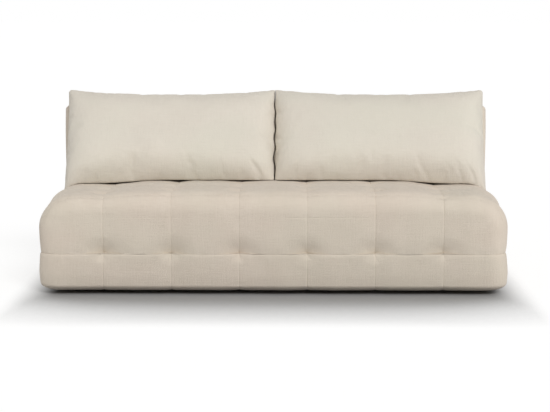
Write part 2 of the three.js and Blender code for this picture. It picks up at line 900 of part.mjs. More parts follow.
function backUpholstery() {
  const box = [
    [-backHalf, backHalf],
    [-backFront, backRear],
    [-backDown, backUp],
  ];
  const radii = [
    [backEdgeRadius, backEdgeRadius],
    [backCornerRadius, backEdgeRadius],
    [backCornerRadius, backEdgeRadius],
  ];
  const lines = box.map((span, axis) => latticeLines(span, radii[axis], [], span[1] - span[0]));
  const crowned = ([x, y, z]) => {
    const across = x / backHalf;
    const up = (2 * z - backUp + backDown) / (backUp + backDown);
    const hollow = y < -backFront + clearance ? backCrown * (1 - (1 - across ** 4) * (1 - up ** 2)) : 0;
    const { surface } = rounded([x, y, z], box, radii);
    surface[1] += hollow;
    return surface;
  };
  const outer = latticeSurface(lines, (...point) => crowned(point));
  const skin = backCornerRadius - backSkin;
  const cavity = (grow) =>
    acrossWidth(
      roundedOutline(
        -backFront + backSkin + grow,
        backRear - backLining - grow,
        -backDown + backLining + grow,
        backUp - backLining - grow,
        skin,
      ),
      -backFrameHalf - clearance + grow,
      backFrameHalf + clearance - grow,
      coarse,
    );
  const bay = (side) =>
    block(
      side > 0 ? bayInner : -stileInner,
      side > 0 ? stileInner : -bayInner,
      -bayDepth,
      backRear + overrun,
      -backDown - overrun,
      bayHeight,
    );
  place(backrest, "back_cover", cut(outer, cavity(0), bay(1), bay(-1)), finish.fabric);
  const foamRear = -backFront + backSkin + backFoam;
  const foamSpace = block(-halfWidth, halfWidth, -backFront, foamRear, -backDown, backUp);
  place(backrest, "back_foam", common(cavity(clearance), foamSpace), finish.foam);
}

// Lift springs: one wire each, from the pin on the hinge plate up to the tail of the seat arm
function springPoints() {
  const bottom = springPinHeight - pivotHeight + springPinRadius + clearance;
  const top = -tailDown - tailRadius - clearance;
  const coil = top - bottom - 2 * springEnd;
  const points = [new THREE.Vector3(0, 0, bottom)];
  const steps = springTurns * springSteps;
  const blend = springSteps / 2;
  for (let i = 0; i <= steps; i++) {
    const angle = (2 * Math.PI * i) / springSteps;
    const ramp = Math.min(i / blend, (steps - i) / blend, 1);
    const radius = springRadius * ramp;
    const height = bottom + springEnd + (coil * i) / steps;
    points.push(new THREE.Vector3(radius * Math.cos(angle), radius * Math.sin(angle), height));
  }
  points.push(new THREE.Vector3(0, 0, top));
  return points;
}

function tubeThrough(points, radius, sides) {
  const positions = [];
  const index = [];
  let across = new THREE.Vector3(1, 0, 0);
  points.forEach((point, i) => {
    const before = points[Math.max(i - 1, 0)];
    const after = points[Math.min(i + 1, points.length - 1)];
    const along = i === 0 || i === points.length - 1
      ? new THREE.Vector3(0, 0, 1)
      : after.clone().sub(before).normalize();
    across = across.clone().addScaledVector(along, -across.dot(along)).normalize();
    const third = new THREE.Vector3().crossVectors(along, across);
    for (let side = 0; side < sides; side++) {
      const angle = (2 * Math.PI * side) / sides;
      const at = point.clone().addScaledVector(across, radius * Math.cos(angle));
      at.addScaledVector(third, radius * Math.sin(angle));
      positions.push(at.x, at.y, at.z);
    }
  });
  const ringStart = (ring) => ring * sides;
  for (let ring = 0; ring + 1 < points.length; ring++)
    for (let side = 0; side < sides; side++) {
      const next = (side + 1) % sides;
      const [a, b] = [ringStart(ring) + side, ringStart(ring) + next];
      const [c, d] = [ringStart(ring + 1) + next, ringStart(ring + 1) + side];
      index.push(a, b, c, a, c, d);
    }
  for (let side = 1; side + 1 < sides; side++) {
    index.push(0, side + 1, side);
    const end = ringStart(points.length - 1);
    index.push(end, end + side, end + side + 1);
  }
  const geometry = new THREE.BufferGeometry();
  geometry.setAttribute("position", new THREE.Float32BufferAttribute(positions, 3));
  geometry.setIndex(index);
  return geometry;
}

// The least space between turns of the wire, measured between points at least half a turn apart
function leastGap(points, apart) {
  let least = Infinity;
  points.forEach((a, i) => {
    points.slice(i + apart).forEach((b) => {
      least = Math.min(least, a.distanceTo(b) - 2 * wireRadius);
    });
  });
  return least;
}

function liftSprings() {
  const points = springPoints();
  console.log("least gap between spring turns", leastGap(points, springSteps / 2).toFixed(2), "mm");
  const spring = tubeThrough(points, wireRadius, wireSides).translate(armSpringX, tailBack, 0);
  placePair(hinge, "lift_spring", spring, finish.zinc);
}

// Loose cushions: two bulging faces sewn along a thin edge, pressed flat by the seat and the backrest
function backCushions() {
  const footDepth = pivotDepth - cushionFootForward;
  const footHeight = seatHeight - cushionFootSink;
  const run = cushionFootForward - cushionTopForward;
  const rise = cushionFootSink + cushionRise;
  const height = Math.hypot(run, rise);
  const [sin, cos] = [run / height, rise / height];
  const centre = (cushionGap + cushionWidth) / 2;
  const closerToSeams = (steps) =>
    Array.from({ length: steps + 1 }, (_, i) => Math.sin(Math.PI * (i / steps - middleShare)));
  const surface = (s, t, side) => {
    const bulge = ((1 - s ** cushionSidePower) * (1 - t ** cushionTopPower)) ** cushionFullnessShare;
    const filling = (cushionThickness - cushionSeam) * bulge * (1 - cushionSagShare * t);
    const half = (cushionSeam + filling) / 2;
    const x = (s * cushionWidth) / 2 - s * cushionWaist * (1 - t ** 2) * s ** 4;
    const up = (height * (t + 1)) / 2 - cushionTopDip * (1 - s ** 4) * ((t + 1) / 2) ** 6;
    return [
      centre + x,
      footDepth + up * sin + side * half * cos,
      footHeight + up * cos - side * half * sin,
    ];
  };
  const whole = latticeSurface(
    [closerToSeams(cushionColumns), [-1, 1], closerToSeams(cushionRows)],
    (s, side, t) => surface(s, t, side),
  );
  const span = cushionGap + cushionWidth + overrun;
  const seatTop = block(-overrun, span, 0, pivotDepth, 0, seatHeight + clearance);
  const backFace = block(-overrun, span, -backFront - clearance, halfWidth, -backDown, halfWidth)
    .rotateX(-restRecline)
    .translate(0, pivotDepth, pivotHeight);
  placePair(sofa, "back_cushion", cut(whole, seatTop, backFace), finish.fabric);
}

basePanels();
baseUpholstery();
feet();
hingePlates();
seatFrame();
seatUpholstery();
seatArms();
pivotBolts();
pawls();
backArms();
backFrame();
backUpholstery();
liftSprings();
backCushions();

// The origin is on the floor, under the middle of the whole sofa
sofa.updateMatrixWorld(true);
const extent = new THREE.Box3().setFromObject(sofa, true);
sofa.position.y = -(extent.min.y + extent.max.y) / 2;

export default sofa;
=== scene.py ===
"""Dresses the click clack sofa bed: quilted upholstery, loose cushions, foam, timber and steel."""

from __future__ import annotations

import json
import logging
import math
from dataclasses import dataclass
from enum import Enum
from typing import Sequence

import bmesh
import bpy
import numpy as np
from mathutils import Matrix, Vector

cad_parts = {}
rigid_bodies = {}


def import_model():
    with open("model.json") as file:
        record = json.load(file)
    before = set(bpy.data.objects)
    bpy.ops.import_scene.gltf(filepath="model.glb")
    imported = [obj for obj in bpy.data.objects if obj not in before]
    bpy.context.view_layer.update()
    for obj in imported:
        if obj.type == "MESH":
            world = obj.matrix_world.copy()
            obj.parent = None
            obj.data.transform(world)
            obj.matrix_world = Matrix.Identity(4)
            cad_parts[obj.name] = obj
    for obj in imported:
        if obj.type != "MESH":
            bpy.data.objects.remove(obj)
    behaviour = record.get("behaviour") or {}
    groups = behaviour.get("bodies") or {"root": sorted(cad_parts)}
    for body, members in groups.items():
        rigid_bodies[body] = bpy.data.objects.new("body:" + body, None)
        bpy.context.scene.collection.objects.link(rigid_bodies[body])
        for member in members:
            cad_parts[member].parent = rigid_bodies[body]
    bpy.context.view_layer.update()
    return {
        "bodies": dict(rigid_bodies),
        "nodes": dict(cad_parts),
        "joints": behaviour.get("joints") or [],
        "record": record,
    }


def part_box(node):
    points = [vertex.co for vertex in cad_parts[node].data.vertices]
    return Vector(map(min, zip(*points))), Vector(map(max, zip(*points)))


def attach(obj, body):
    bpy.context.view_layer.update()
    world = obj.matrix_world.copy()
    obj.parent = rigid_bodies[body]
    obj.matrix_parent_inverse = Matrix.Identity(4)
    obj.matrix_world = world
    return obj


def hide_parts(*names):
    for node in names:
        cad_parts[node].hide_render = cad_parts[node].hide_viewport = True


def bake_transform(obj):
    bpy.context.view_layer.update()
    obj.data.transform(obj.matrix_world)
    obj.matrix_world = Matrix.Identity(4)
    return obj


log = logging.getLogger("sofa")

Points = np.ndarray
Colour = tuple[float, float, float]
Socket = bpy.types.NodeSocket

FRAME: dict = {}

# Shorter than any length that counts, in metres.
TINY = 1e-9


class Body(Enum):
    """What a piece moves with."""

    BASE = "base"
    SEAT = "seat"
    BACKREST = "backrest"
    CUSHION_LEFT = "cushion_left"
    CUSHION_RIGHT = "cushion_right"


class Slot(Enum):
    """The record's material slots."""

    COVER = "cover_fabric"
    FOAM = "foam"
    LINING = "lining_fabric"
    TIMBER = "frame_wood"
    BOARD = "box_board"
    PAINTED = "painted_steel"
    ZINC = "zinc_steel"
    PLASTIC = "foot_plastic"


class Axis(Enum):
    """A direction in the row frame, which is also the way that the grain of a board can run."""

    X = 0
    Y = 1
    Z = 2


class Side(Enum):
    """Left and right as seen by someone facing the sofa."""

    LEFT = -1
    RIGHT = 1


def tint(red: int, green: int, blue: int) -> Colour:
    """A colour written as 0 to 255 for each channel, as linear light."""
    return tuple(((c / 255 + 0.055) / 1.055) ** 2.4 if c > 10 else c / 3294.6 for c in (red, green, blue))


class NodeSheet:
    """The node tree of one material, with short calls for the nodes that the finishes repeat."""

    def __init__(self, name: str) -> None:
        """Make an empty material with its surface shader.

        Args:
            name: what the material is called.
        """
        self.material = bpy.data.materials.new(name)
        self.material.use_nodes = True
        self.tree = self.material.node_tree
        self.tree.nodes.clear()
        output = self.tree.nodes.new("ShaderNodeOutputMaterial")
        self.surface = self.tree.nodes.new("ShaderNodeBsdfPrincipled")
        self.tree.links.new(self.surface.outputs[0], output.inputs["Surface"])
        self.place = self.tree.nodes.new("ShaderNodeTexCoord")

    def feed(self, socket: Socket, value: object) -> None:
        """Link a socket, or set its plain value.

        Args:
            socket: an input of a node.
            value: the output to link to it, or the value to set.
        """
        if isinstance(value, Socket):
            self.tree.links.new(value, socket)
        else:
            socket.default_value = value

    def set(self, **values: object) -> None:
        """Give the surface shader its values, with _ for a space in a socket's name."""
        for name, value in values.items():
            self.feed(self.surface.inputs[name.replace("_", " ")], value)

    def at(self, scale: Sequence[float] = (1, 1, 1), tilt: float = 0.0) -> Socket:
        """Places on the object, turned and then scaled.

        Args:
            scale: the scale along each axis.
            tilt: the turn about X, in radians.

        Returns:
            The places.
        """
        turned = self.tree.nodes.new("ShaderNodeMapping")
        turned.inputs["Rotation"].default_value = (tilt, 0, 0)
        self.tree.links.new(self.place.outputs["Object"], turned.inputs["Vector"])
        scaled = self.tree.nodes.new("ShaderNodeMapping")
        scaled.inputs["Scale"].default_value = scale
        self.tree.links.new(turned.outputs[0], scaled.inputs["Vector"])
        return scaled.outputs[0]

    def math(self, kind: str, a: object, b: object = 0.0) -> Socket:
        """One step of arithmetic.

        Args:
            kind: the name of the operation.
            a: its first number.
            b: its second number, if it takes one.

        Returns:
            The result.
        """
        node = self.tree.nodes.new("ShaderNodeMath")
        node.operation = kind
        self.feed(node.inputs[0], a)
        self.feed(node.inputs[1], b)
        return node.outputs[0]

    def split(self, vector: Socket) -> Sequence[Socket]:
        """The three parts of a vector.

        Args:
            vector: the vector.

        Returns:
            Its parts along X, Y and Z.
        """
        node = self.tree.nodes.new("ShaderNodeSeparateXYZ")
        self.feed(node.inputs[0], vector)
        return node.outputs

    def noise(
        self,
        vector: Socket,
        scale: float,
        detail: float = 2.0,
        roughness: float = 0.5,
        distortion: float = 0.0,
    ) -> Socket:
        """Soft noise.

        Args:
            vector: where on the object it is taken.
            scale: how many lumps there are to a metre.
            detail: how many finer layers lie on top.
            roughness: how strong those layers are.
            distortion: how far the lumps are swirled.

        Returns:
            The noise, from 0 to 1.
        """
        node = self.tree.nodes.new("ShaderNodeTexNoise")
        self.feed(node.inputs["Vector"], vector)
        values = {"Scale": scale, "Detail": detail, "Roughness": roughness, "Distortion": distortion}
        for name, value in values.items():
            node.inputs[name].default_value = value
        return node.outputs[0]

    def cells(self, vector: Socket, scale: float, output: str = "Distance") -> Socket:
        """Cells, each with its own centre and colour.

        Args:
            vector: where on the object they are taken.
            scale: how many cells there are to a metre.
            output: what is wanted of them.

        Returns:
            That output.
        """
        node = self.tree.nodes.new("ShaderNodeTexVoronoi")
        self.feed(node.inputs["Vector"], vector)
        node.inputs["Scale"].default_value = scale
        return node.outputs[output]

    def ramp(
        self,
        value: object,
        low: float,
        high: float,
        start: float = 0.0,
        end: float = 1.0,
        soft: bool = False,
    ) -> Socket:
        """A value spread over a new range, and held at its ends.

        Args:
            value: the value.
            low: where it gives start.
            high: where it gives end.
            start: the new range's low end.
            end: the new range's high end.
            soft: whether the ramp eases in and out.

        Returns:
            The new value.
        """
        node = self.tree.nodes.new("ShaderNodeMapRange")
        node.interpolation_type = "SMOOTHSTEP" if soft else "LINEAR"
        self.feed(node.inputs["Value"], value)
        ends = {"From Min": low, "From Max": high, "To Min": start, "To Max": end}
        for name, number in ends.items():
            node.inputs[name].default_value = number
        return node.outputs[0]

    def blend(self, share: object, first: object, second: object) -> Socket:
        """A colour between two.

        Args:
            share: how much of the second colour there is, from 0 to 1.
            first: the first colour.
            second: the second colour.

        Returns:
            The colour.
        """
        node = self.tree.nodes.new("ShaderNodeMix")
        node.data_type = "RGBA"
        self.feed(node.inputs["Factor"], share)
        for name, value in (("A", first), ("B", second)):
            socket = next(s for s in node.inputs if s.name == name and s.type == "RGBA")
            self.feed(socket, value if isinstance(value, Socket) else (*value, 1.0))
        return next(s for s in node.outputs if s.type == "RGBA")

    def bump(self, height: Socket, depth: float, under: Socket | None = None) -> Socket:
        """A relief in the shading.

        Args:
            height: how high each point stands, from 0 to 1.
            depth: what a height of 1 measures, in metres.
            under: a relief that this one lies on.

        Returns:
            The direction that the surface faces.
        """
        node = self.tree.nodes.new("ShaderNodeBump")
        node.inputs["Distance"].default_value = depth
        self.feed(node.inputs["Height"], height)
        if under is not None:
            self.feed(node.inputs["Normal"], under)
        return node.outputs[0]


@dataclass(frozen=True)
class Upholstery:
    """Soft, short-piled cover fabric with a fine weave and uneven thread."""

    name: str
    colour: Colour = tint(221, 209, 195)
    shade: Colour = tint(205, 191, 175)
    cool: Colour = tint(215, 207, 191)
    thread: float = 0.0017
    tilt: float = 0.0
    side_sharpness: float = 3.0
    slubs_across: tuple[float, float, float] = (16.0, 210.0, 210.0)
    slubs_upward: tuple[float, float, float] = (230.0, 18.0, 18.0)
    pile_scale: float = 7.0
    cloud_scale: float = 2.2
    fuzz_scale: float = 900.0
    fuzz_depth: float = 0.0005
    slub_depth: float = 0.0012
    weave_depth: float = 0.00035

    def weave(self, sheet: NodeSheet) -> Socket:
        """Crossing threads, laid flat on whichever side a point faces.

        Args:
            sheet: the material that they are made in.

        Returns:
            The threads' height.
        """
        along = math.pi / self.thread
        places = sheet.at((along, along, along), self.tilt)
        waves = [sheet.math("SINE", part) for part in sheet.split(places)]
        normal = sheet.tree.nodes.new("ShaderNodeMapping")
        normal.vector_type = "NORMAL"
        normal.inputs["Rotation"].default_value = (self.tilt, 0, 0)
        sheet.tree.links.new(sheet.place.outputs["Normal"], normal.inputs["Vector"])
        weave = None
        for axis, facing in enumerate(sheet.split(normal.outputs[0])):
            square = sheet.math("POWER", sheet.math("ABSOLUTE", facing), self.side_sharpness)
            crossing = sheet.math("MULTIPLY", waves[(axis + 1) % 3], waves[(axis + 2) % 3])
            part = sheet.math("MULTIPLY", square, crossing)
            weave = part if weave is None else sheet.math("ADD", weave, part)
        return weave

    def slubs(self, sheet: NodeSheet) -> Socket:
        """The uneven thickness of the threads, both ways.

        Args:
            sheet: the material that they are made in.

        Returns:
            The thickness, from 0 to 2.
        """
        ways = (self.slubs_across, self.slubs_upward)
        across, upward = (sheet.noise(sheet.at(way, self.tilt), 1.0, 3.0, 0.6) for way in ways)
        return sheet.math("ADD", across, upward)

    def material(self) -> bpy.types.Material:
        """Make the fabric.

        Returns:
            The material.
        """
        sheet = NodeSheet(self.name)
        weave, slubs = self.weave(sheet), self.slubs(sheet)
        pile = sheet.noise(sheet.at(), self.pile_scale, 4.0, 0.55, 0.6)
        cloud = sheet.noise(sheet.at((1.0, 1.0, 1.6)), self.cloud_scale, 2.0)
        worn = sheet.ramp(pile, 0.3, 0.7, 0.0, 0.5)
        tone = sheet.math("ADD", worn, sheet.ramp(slubs, 0.75, 1.25, 0.0, 0.5))
        body = sheet.blend(sheet.ramp(tone, 0.1, 0.9, 0.0, 0.42), self.colour, self.shade)
        body = sheet.blend(sheet.ramp(cloud, 0.42, 0.62, 0.0, 0.45), body, self.cool)
        fuzz = sheet.noise(sheet.at(), self.fuzz_scale, 2.0, 0.7)
        relief = sheet.bump(fuzz, self.fuzz_depth)
        relief = sheet.bump(slubs, self.slub_depth, relief)
        relief = sheet.bump(weave, self.weave_depth, relief)
        sheet.set(
            Base_Color=body,
            Roughness=sheet.ramp(slubs, 0.7, 1.3, 0.86, 0.97),
            Normal=relief,
            Sheen_Weight=0.3,
            Sheen_Roughness=0.45,
            Sheen_Tint=(1.0, 0.97, 0.92, 1.0),
            Specular_IOR_Level=0.25,
        )
        return sheet.material


@dataclass(frozen=True)
class Foam:
    """Open-celled foam that has yellowed a little."""

    name: str = "foam"
    colour: Colour = tint(236, 226, 190)
    aged: Colour = tint(221, 203, 150)

    def material(self) -> bpy.types.Material:
        """Make the foam.

        Returns:
            The material.
        """
        sheet = NodeSheet(self.name)
        cells = sheet.cells(sheet.at(), 520.0)
        aging = sheet.noise(sheet.at(), 5.0, 3.0)
        sheet.set(
            Base_Color=sheet.blend(sheet.ramp(aging, 0.35, 0.7, 0.0, 0.7), self.colour, self.aged),
            Roughness=0.92,
            Normal=sheet.bump(cells, 0.0008),
            Specular_IOR_Level=0.2,
        )
        return sheet.material


@dataclass(frozen=True)
class Timber:
    """Sawn softwood, with its grain along one axis."""

    grain: Axis
    light: Colour = tint(221, 186, 138)
    dark: Colour = tint(186, 143, 92)
    rings: float = 9.0

    def stretched(self, across: float, along: float) -> list[float]:
        """A scale for each axis, with its own value along the grain."""
        return [along if axis is self.grain else across for axis in Axis]

    def material(self) -> bpy.types.Material:
        """Make the timber.

        Returns:
            The material.
        """
        sheet = NodeSheet(f"timber_{self.grain.name.lower()}")
        rings = sheet.noise(sheet.at(self.stretched(34.0, 1.4)), 1.0, 4.0, 0.6, 1.4)
        lines = sheet.math("PINGPONG", sheet.math("MULTIPLY", rings, self.rings), 1.0)
        fibres = sheet.noise(sheet.at(self.stretched(900.0, 24.0)), 1.0, 2.0)
        banded = sheet.ramp(lines, 0.0, 1.0, 0.0, 0.7)
        tone = sheet.math("ADD", banded, sheet.ramp(fibres, 0.3, 0.7, 0.0, 0.3))
        sheet.set(
            Base_Color=sheet.blend(tone, self.light, self.dark),
            Roughness=sheet.ramp(fibres, 0.3, 0.7, 0.55, 0.78),
            Normal=sheet.bump(fibres, 0.0003, sheet.bump(lines, 0.0003)),
        )
        return sheet.material


@dataclass(frozen=True)
class ChipBoard:
    """Pressed board of pale chips."""

    name: str = "chip_board"
    light: Colour = tint(214, 190, 148)
    dark: Colour = tint(171, 137, 92)

    def material(self) -> bpy.types.Material:
        """Make the board.

        Returns:
            The material.
        """
        sheet = NodeSheet(self.name)
        chips = sheet.cells(sheet.at((1.0, 1.6, 2.2)), 210.0, "Color")
        dust = sheet.noise(sheet.at(), 600.0, 2.0)
        shade = sheet.ramp(sheet.split(chips)[0], 0.0, 1.0, 0.0, 0.75)
        tone = sheet.math("ADD", shade, sheet.ramp(dust, 0.3, 0.7, 0.0, 0.25))
        sheet.set(
            Base_Color=sheet.blend(tone, self.light, self.dark),
            Roughness=sheet.ramp(dust, 0.3, 0.7, 0.6, 0.8),
            Normal=sheet.bump(tone, 0.0003),
        )
        return sheet.material


@dataclass(frozen=True)
class DustCloth:
    """Thin bonded cloth with a pattern of pressed dots."""

    name: str = "dust_cloth"
    colour: Colour = tint(58, 57, 54)
    worn: Colour = tint(78, 76, 72)
    dots: float = 2200.0

    def material(self) -> bpy.types.Material:
        """Make the cloth.

        Returns:
            The material.
        """
        sheet = NodeSheet(self.name)
        places = sheet.at((self.dots, self.dots, self.dots))
        waves = [sheet.math("SINE", part) for part in sheet.split(places)]
        dots = sheet.math("MULTIPLY", waves[0], waves[2])
        fibres = sheet.noise(sheet.at((240.0, 240.0, 240.0)), 1.0, 5.0, 0.7, 1.2)
        sheet.set(
            Base_Color=sheet.blend(sheet.ramp(fibres, 0.3, 0.75, 0.0, 1.0), self.colour, self.worn),
            Roughness=0.93,
            Normal=sheet.bump(fibres, 0.0003, sheet.bump(dots, 0.00015)),
            Specular_IOR_Level=0.2,
        )
        return sheet.material


@dataclass(frozen=True)
class Metal:
    """Flat steel, painted or plated."""

    name: str
    colour: Colour
    scuffed: Colour
    metallic: float
    roughness: float
    grain: float
    peel_depth: float = 0.00008

    def material(self) -> bpy.types.Material:
        """Make the steel.

        Returns:
            The material.
        """
        sheet = NodeSheet(self.name)
        patches = sheet.noise(sheet.at(), self.grain, 4.0, 0.6, 0.8)
        peel = sheet.noise(sheet.at(), 900.0, 2.0)
        sheet.set(
            Base_Color=sheet.blend(sheet.ramp(patches, 0.45, 0.75, 0.0, 0.6), self.colour, self.scuffed),
            Metallic=self.metallic,
            Roughness=sheet.ramp(patches, 0.3, 0.7, self.roughness - 0.07, self.roughness + 0.1),
            Normal=sheet.bump(peel, self.peel_depth),
        )
        return sheet.material


@dataclass(frozen=True)
class Plastic:
    """Dark moulded plastic with a fine grain."""

    name: str = "moulded_plastic"
    colour: Colour = tint(30, 30, 31)
    dusty: Colour = tint(70, 68, 64)

    def material(self) -> bpy.types.Material:
        """Make the plastic.

        Returns:
            The material.
        """
        sheet = NodeSheet(self.name)
        grain = sheet.noise(sheet.at(), 1400.0, 2.0)
        dust = sheet.noise(sheet.at(), 60.0, 4.0)
        sheet.set(
            Base_Color=sheet.blend(sheet.ramp(dust, 0.5, 0.8, 0.0, 0.5), self.colour, self.dusty),
            Roughness=sheet.ramp(dust, 0.3, 0.7, 0.45, 0.65),
            Normal=sheet.bump(grain, 0.00012),
        )
        return sheet.material


def make_piece(name: str, vertices: Points, faces: Sequence[Sequence[int]]) -> bpy.types.Object:
    """A mesh object in the row frame.

    Args:
        name: what the piece is called.
        vertices: its points, in metres.
        faces: its faces, as rows of point numbers.

    Returns:
        The new object.
    """
    mesh = bpy.data.meshes.new(name)
    mesh.from_pydata([tuple(p) for p in vertices], [], [tuple(f) for f in faces])
    mesh.validate()
    piece = bpy.data.objects.new(name, mesh)
    bpy.context.scene.collection.objects.link(piece)
    return piece


def read_points(mesh: bpy.types.Mesh) -> Points:
    """The points of a mesh.

    Args:
        mesh: the mesh.

    Returns:
        Its points, one to a row.
    """
    points = np.zeros(len(mesh.vertices) * 3, np.float32)
    mesh.vertices.foreach_get("co", points)
    return points.reshape(-1, 3).astype(float)


def write_points(mesh: bpy.types.Mesh, points: Points) -> None:
    """Move the points of a mesh."""
    mesh.vertices.foreach_set("co", points.astype(np.float32).ravel())
    mesh.update()


def dress(piece: bpy.types.Object, finish: bpy.types.Material) -> None:
    """Give all of a piece one finish.

    Args:
        piece: the piece.
        finish: its only material.
    """
    piece.data.materials.clear()
    piece.data.materials.append(finish)
    piece.data.polygons.foreach_set("material_index", [0] * len(piece.data.polygons))


def smooth(piece: bpy.types.Object, crease: float = math.radians(55)) -> None:
    """Shade a piece smoothly, apart from edges sharper than crease."""
    piece.data.polygons.foreach_set("use_smooth", [True] * len(piece.data.polygons))
    piece.data.set_sharp_from_angle(angle=crease)


def apply_modifiers(piece: bpy.types.Object) -> None:
    """Fix what the modifiers make of the mesh, and drop them.

    Args:
        piece: the piece that has the modifiers.
    """
    graph = bpy.context.evaluated_depsgraph_get()
    made = bpy.data.meshes.new_from_object(piece.evaluated_get(graph))
    before = piece.data
    piece.modifiers.clear()
    piece.data = made
    bpy.data.meshes.remove(before)


def cut_away(piece: bpy.types.Object, tools: Sequence[bpy.types.Object]) -> None:
    """Cut blocks out of a piece.

    Args:
        piece: the piece, a closed mesh.
        tools: the closed meshes to cut with, which are removed.
    """
    for tool in tools:
        modifier = piece.modifiers.new("cut", "BOOLEAN")
        modifier.solver = "MANIFOLD"
        modifier.operation = "DIFFERENCE"
        modifier.object = tool
    apply_modifiers(piece)
    for tool in tools:
        bpy.data.objects.remove(tool)


# Each side of a box as its axis, and 0 for the low end or 1 for the high one.
ALL_SIDES = tuple((axis.value, end) for axis in Axis for end in (0, 1))
NO_UNDERSIDE = tuple(side for side in ALL_SIDES if side != (Axis.Z.value, 0))


def skin(lines: Sequence[Points], sides: Sequence[tuple[int, int]]) -> tuple[Points, Points]:
    """A box's surface, ruled by lines across each axis.

    Args:
        lines: where the lines cross each axis, from the low side to the high one.
        sides: the sides to make.

    Returns:
        The points and the four-cornered faces.
    """
    counts = [len(line) for line in lines]
    quads = []
    for axis, end in sides:
        across, up = (axis + 1) % 3, (axis + 2) % 3
        i, j = np.meshgrid(np.arange(counts[across] - 1), np.arange(counts[up] - 1), indexing="ij")
        ring = []
        for di, dj in ((0, 0), (1, 0), (1, 1), (0, 1)):
            step = [None, None, None]
            step[axis] = np.full_like(i, (counts[axis] - 1) * end)
            step[across] = i + di
            step[up] = j + dj
            ring.append((step[0] * counts[1] + step[1]) * counts[2] + step[2])
        quads.append(np.stack(ring if end else ring[::-1], -1).reshape(-1, 4))
    used, faces = np.unique(np.concatenate(quads), return_inverse=True)
    steps = (used // (counts[1] * counts[2]), used // counts[2] % counts[1], used % counts[2])
    return np.stack([line[step] for line, step in zip(lines, steps)], -1), faces.reshape(-1, 4)


def block(low: Sequence[float], high: Sequence[float]) -> bpy.types.Object:
    """A block to cut with."""
    return make_piece("tool", *skin([np.array(span) for span in zip(low, high)], ALL_SIDES))


def close_open_edges(piece: bpy.types.Object) -> None:
    """Put one face over each open rim of a mesh.

    Args:
        piece: the piece that has the rims.
    """
    mesh = bmesh.new()
    mesh.from_mesh(piece.data)
    rims = [edge for edge in mesh.edges if edge.is_boundary]
    bmesh.ops.holes_fill(mesh, edges=rims, sides=0)
    mesh.to_mesh(piece.data)
    mesh.free()


@dataclass(frozen=True)
class RoundedBox:
    """A box with an elliptical round on its edges, of its own size at each side."""

    low: Points
    high: Points
    low_radii: Points
    high_radii: Points
    turns: int = 9
    groove: float = 0.003
    beside: tuple[float, ...] = (0.5, 1.0, 1.8, 3.0)
    closest: float = 0.0004

    def surface(self, points: Points) -> tuple[Points, Points]:
        """Points of the plain box moved onto the rounded one.

        Args:
            points: the points on the plain box.

        Returns:
            The points on the rounded box, and the outward directions there.
        """
        inner = np.clip(points, self.low + self.low_radii, self.high - self.high_radii)
        reach = np.where(points < self.low + self.low_radii, self.low_radii, self.high_radii)
        outward = np.divide(points - inner, reach, out=np.zeros_like(points), where=reach > 0)
        length = np.linalg.norm(outward, axis=1, keepdims=True)
        direction = np.divide(outward, length, out=np.zeros_like(points), where=length > TINY)
        return inner + direction * reach, direction

    def lines(self, axis: Axis, step: float, seams: Sequence[float] = ()) -> Points:
        """Lines across an axis: even steps, with closer ones beside seams and even turns round the edges.

        Args:
            axis: the axis.
            step: how far apart the lines are.
            seams: where the seams cross the axis.

        Returns:
            The lines' places, from the low side to the high one.
        """
        low, high = self.low[axis.value], self.high[axis.value]
        low_radius, high_radius = self.low_radii[axis.value], self.high_radii[axis.value]
        turns = 1 - np.tan(np.linspace(0, math.pi / 4, self.turns))
        found = [low, high, *(low + low_radius * turns), *(high - high_radius * turns)]
        stops = sorted([low + low_radius, *seams, high - high_radius])
        beside = [self.groove * share for share in self.beside]
        for start, end in zip(stops, stops[1:]):
            inner = [start + d for d in beside] + [end - d for d in beside]
            count = max(int((end - start - 2 * beside[-1]) / step), 1)
            inner += list(np.linspace(start + beside[-1], end - beside[-1], count + 1))
            found += [start, *inner, end]
        found = np.unique(np.round([line for line in found if low <= line <= high], 6))
        keep = np.concatenate([[True], np.diff(found) > self.closest])
        keep[-1] = True
        return found[keep]


def joint_place(name: str) -> Vector:
    """Where a hinge's axis crosses the middle of the sofa."""
    joint = next(j for j in FRAME["joints"] if j["name"] == name)
    return Vector(joint["pos_m"])


def eased(values: Points, start: float, end: float) -> Points:
    """From 0 at start to 1 at end, smoothly."""
    share = np.clip((values - start) / (end - start), 0, 1)
    return share * share * (3 - 2 * share)


@dataclass(frozen=True)
class Unevenness:
    """Soft lumps and hollows, the same each time."""

    height: float
    length: float
    seed: int
    waves: int = 7
    spread: tuple[float, float] = (0.6, 1.6)

    def at(self, points: Points) -> Points:
        """How far the surface stands up.

        Args:
            points: where.

        Returns:
            The rise at each point.
        """
        draw = np.random.default_rng(self.seed)
        ways = draw.normal(size=(self.waves, 3))
        ways *= (2 * math.pi / self.length) / np.linalg.norm(ways, axis=1, keepdims=True)
        ways *= draw.uniform(*self.spread, (self.waves, 1))
        starts = draw.uniform(0, 2 * math.pi, self.waves)
        return self.height * np.sin(points @ ways.T + starts).sum(1) / math.sqrt(self.waves)


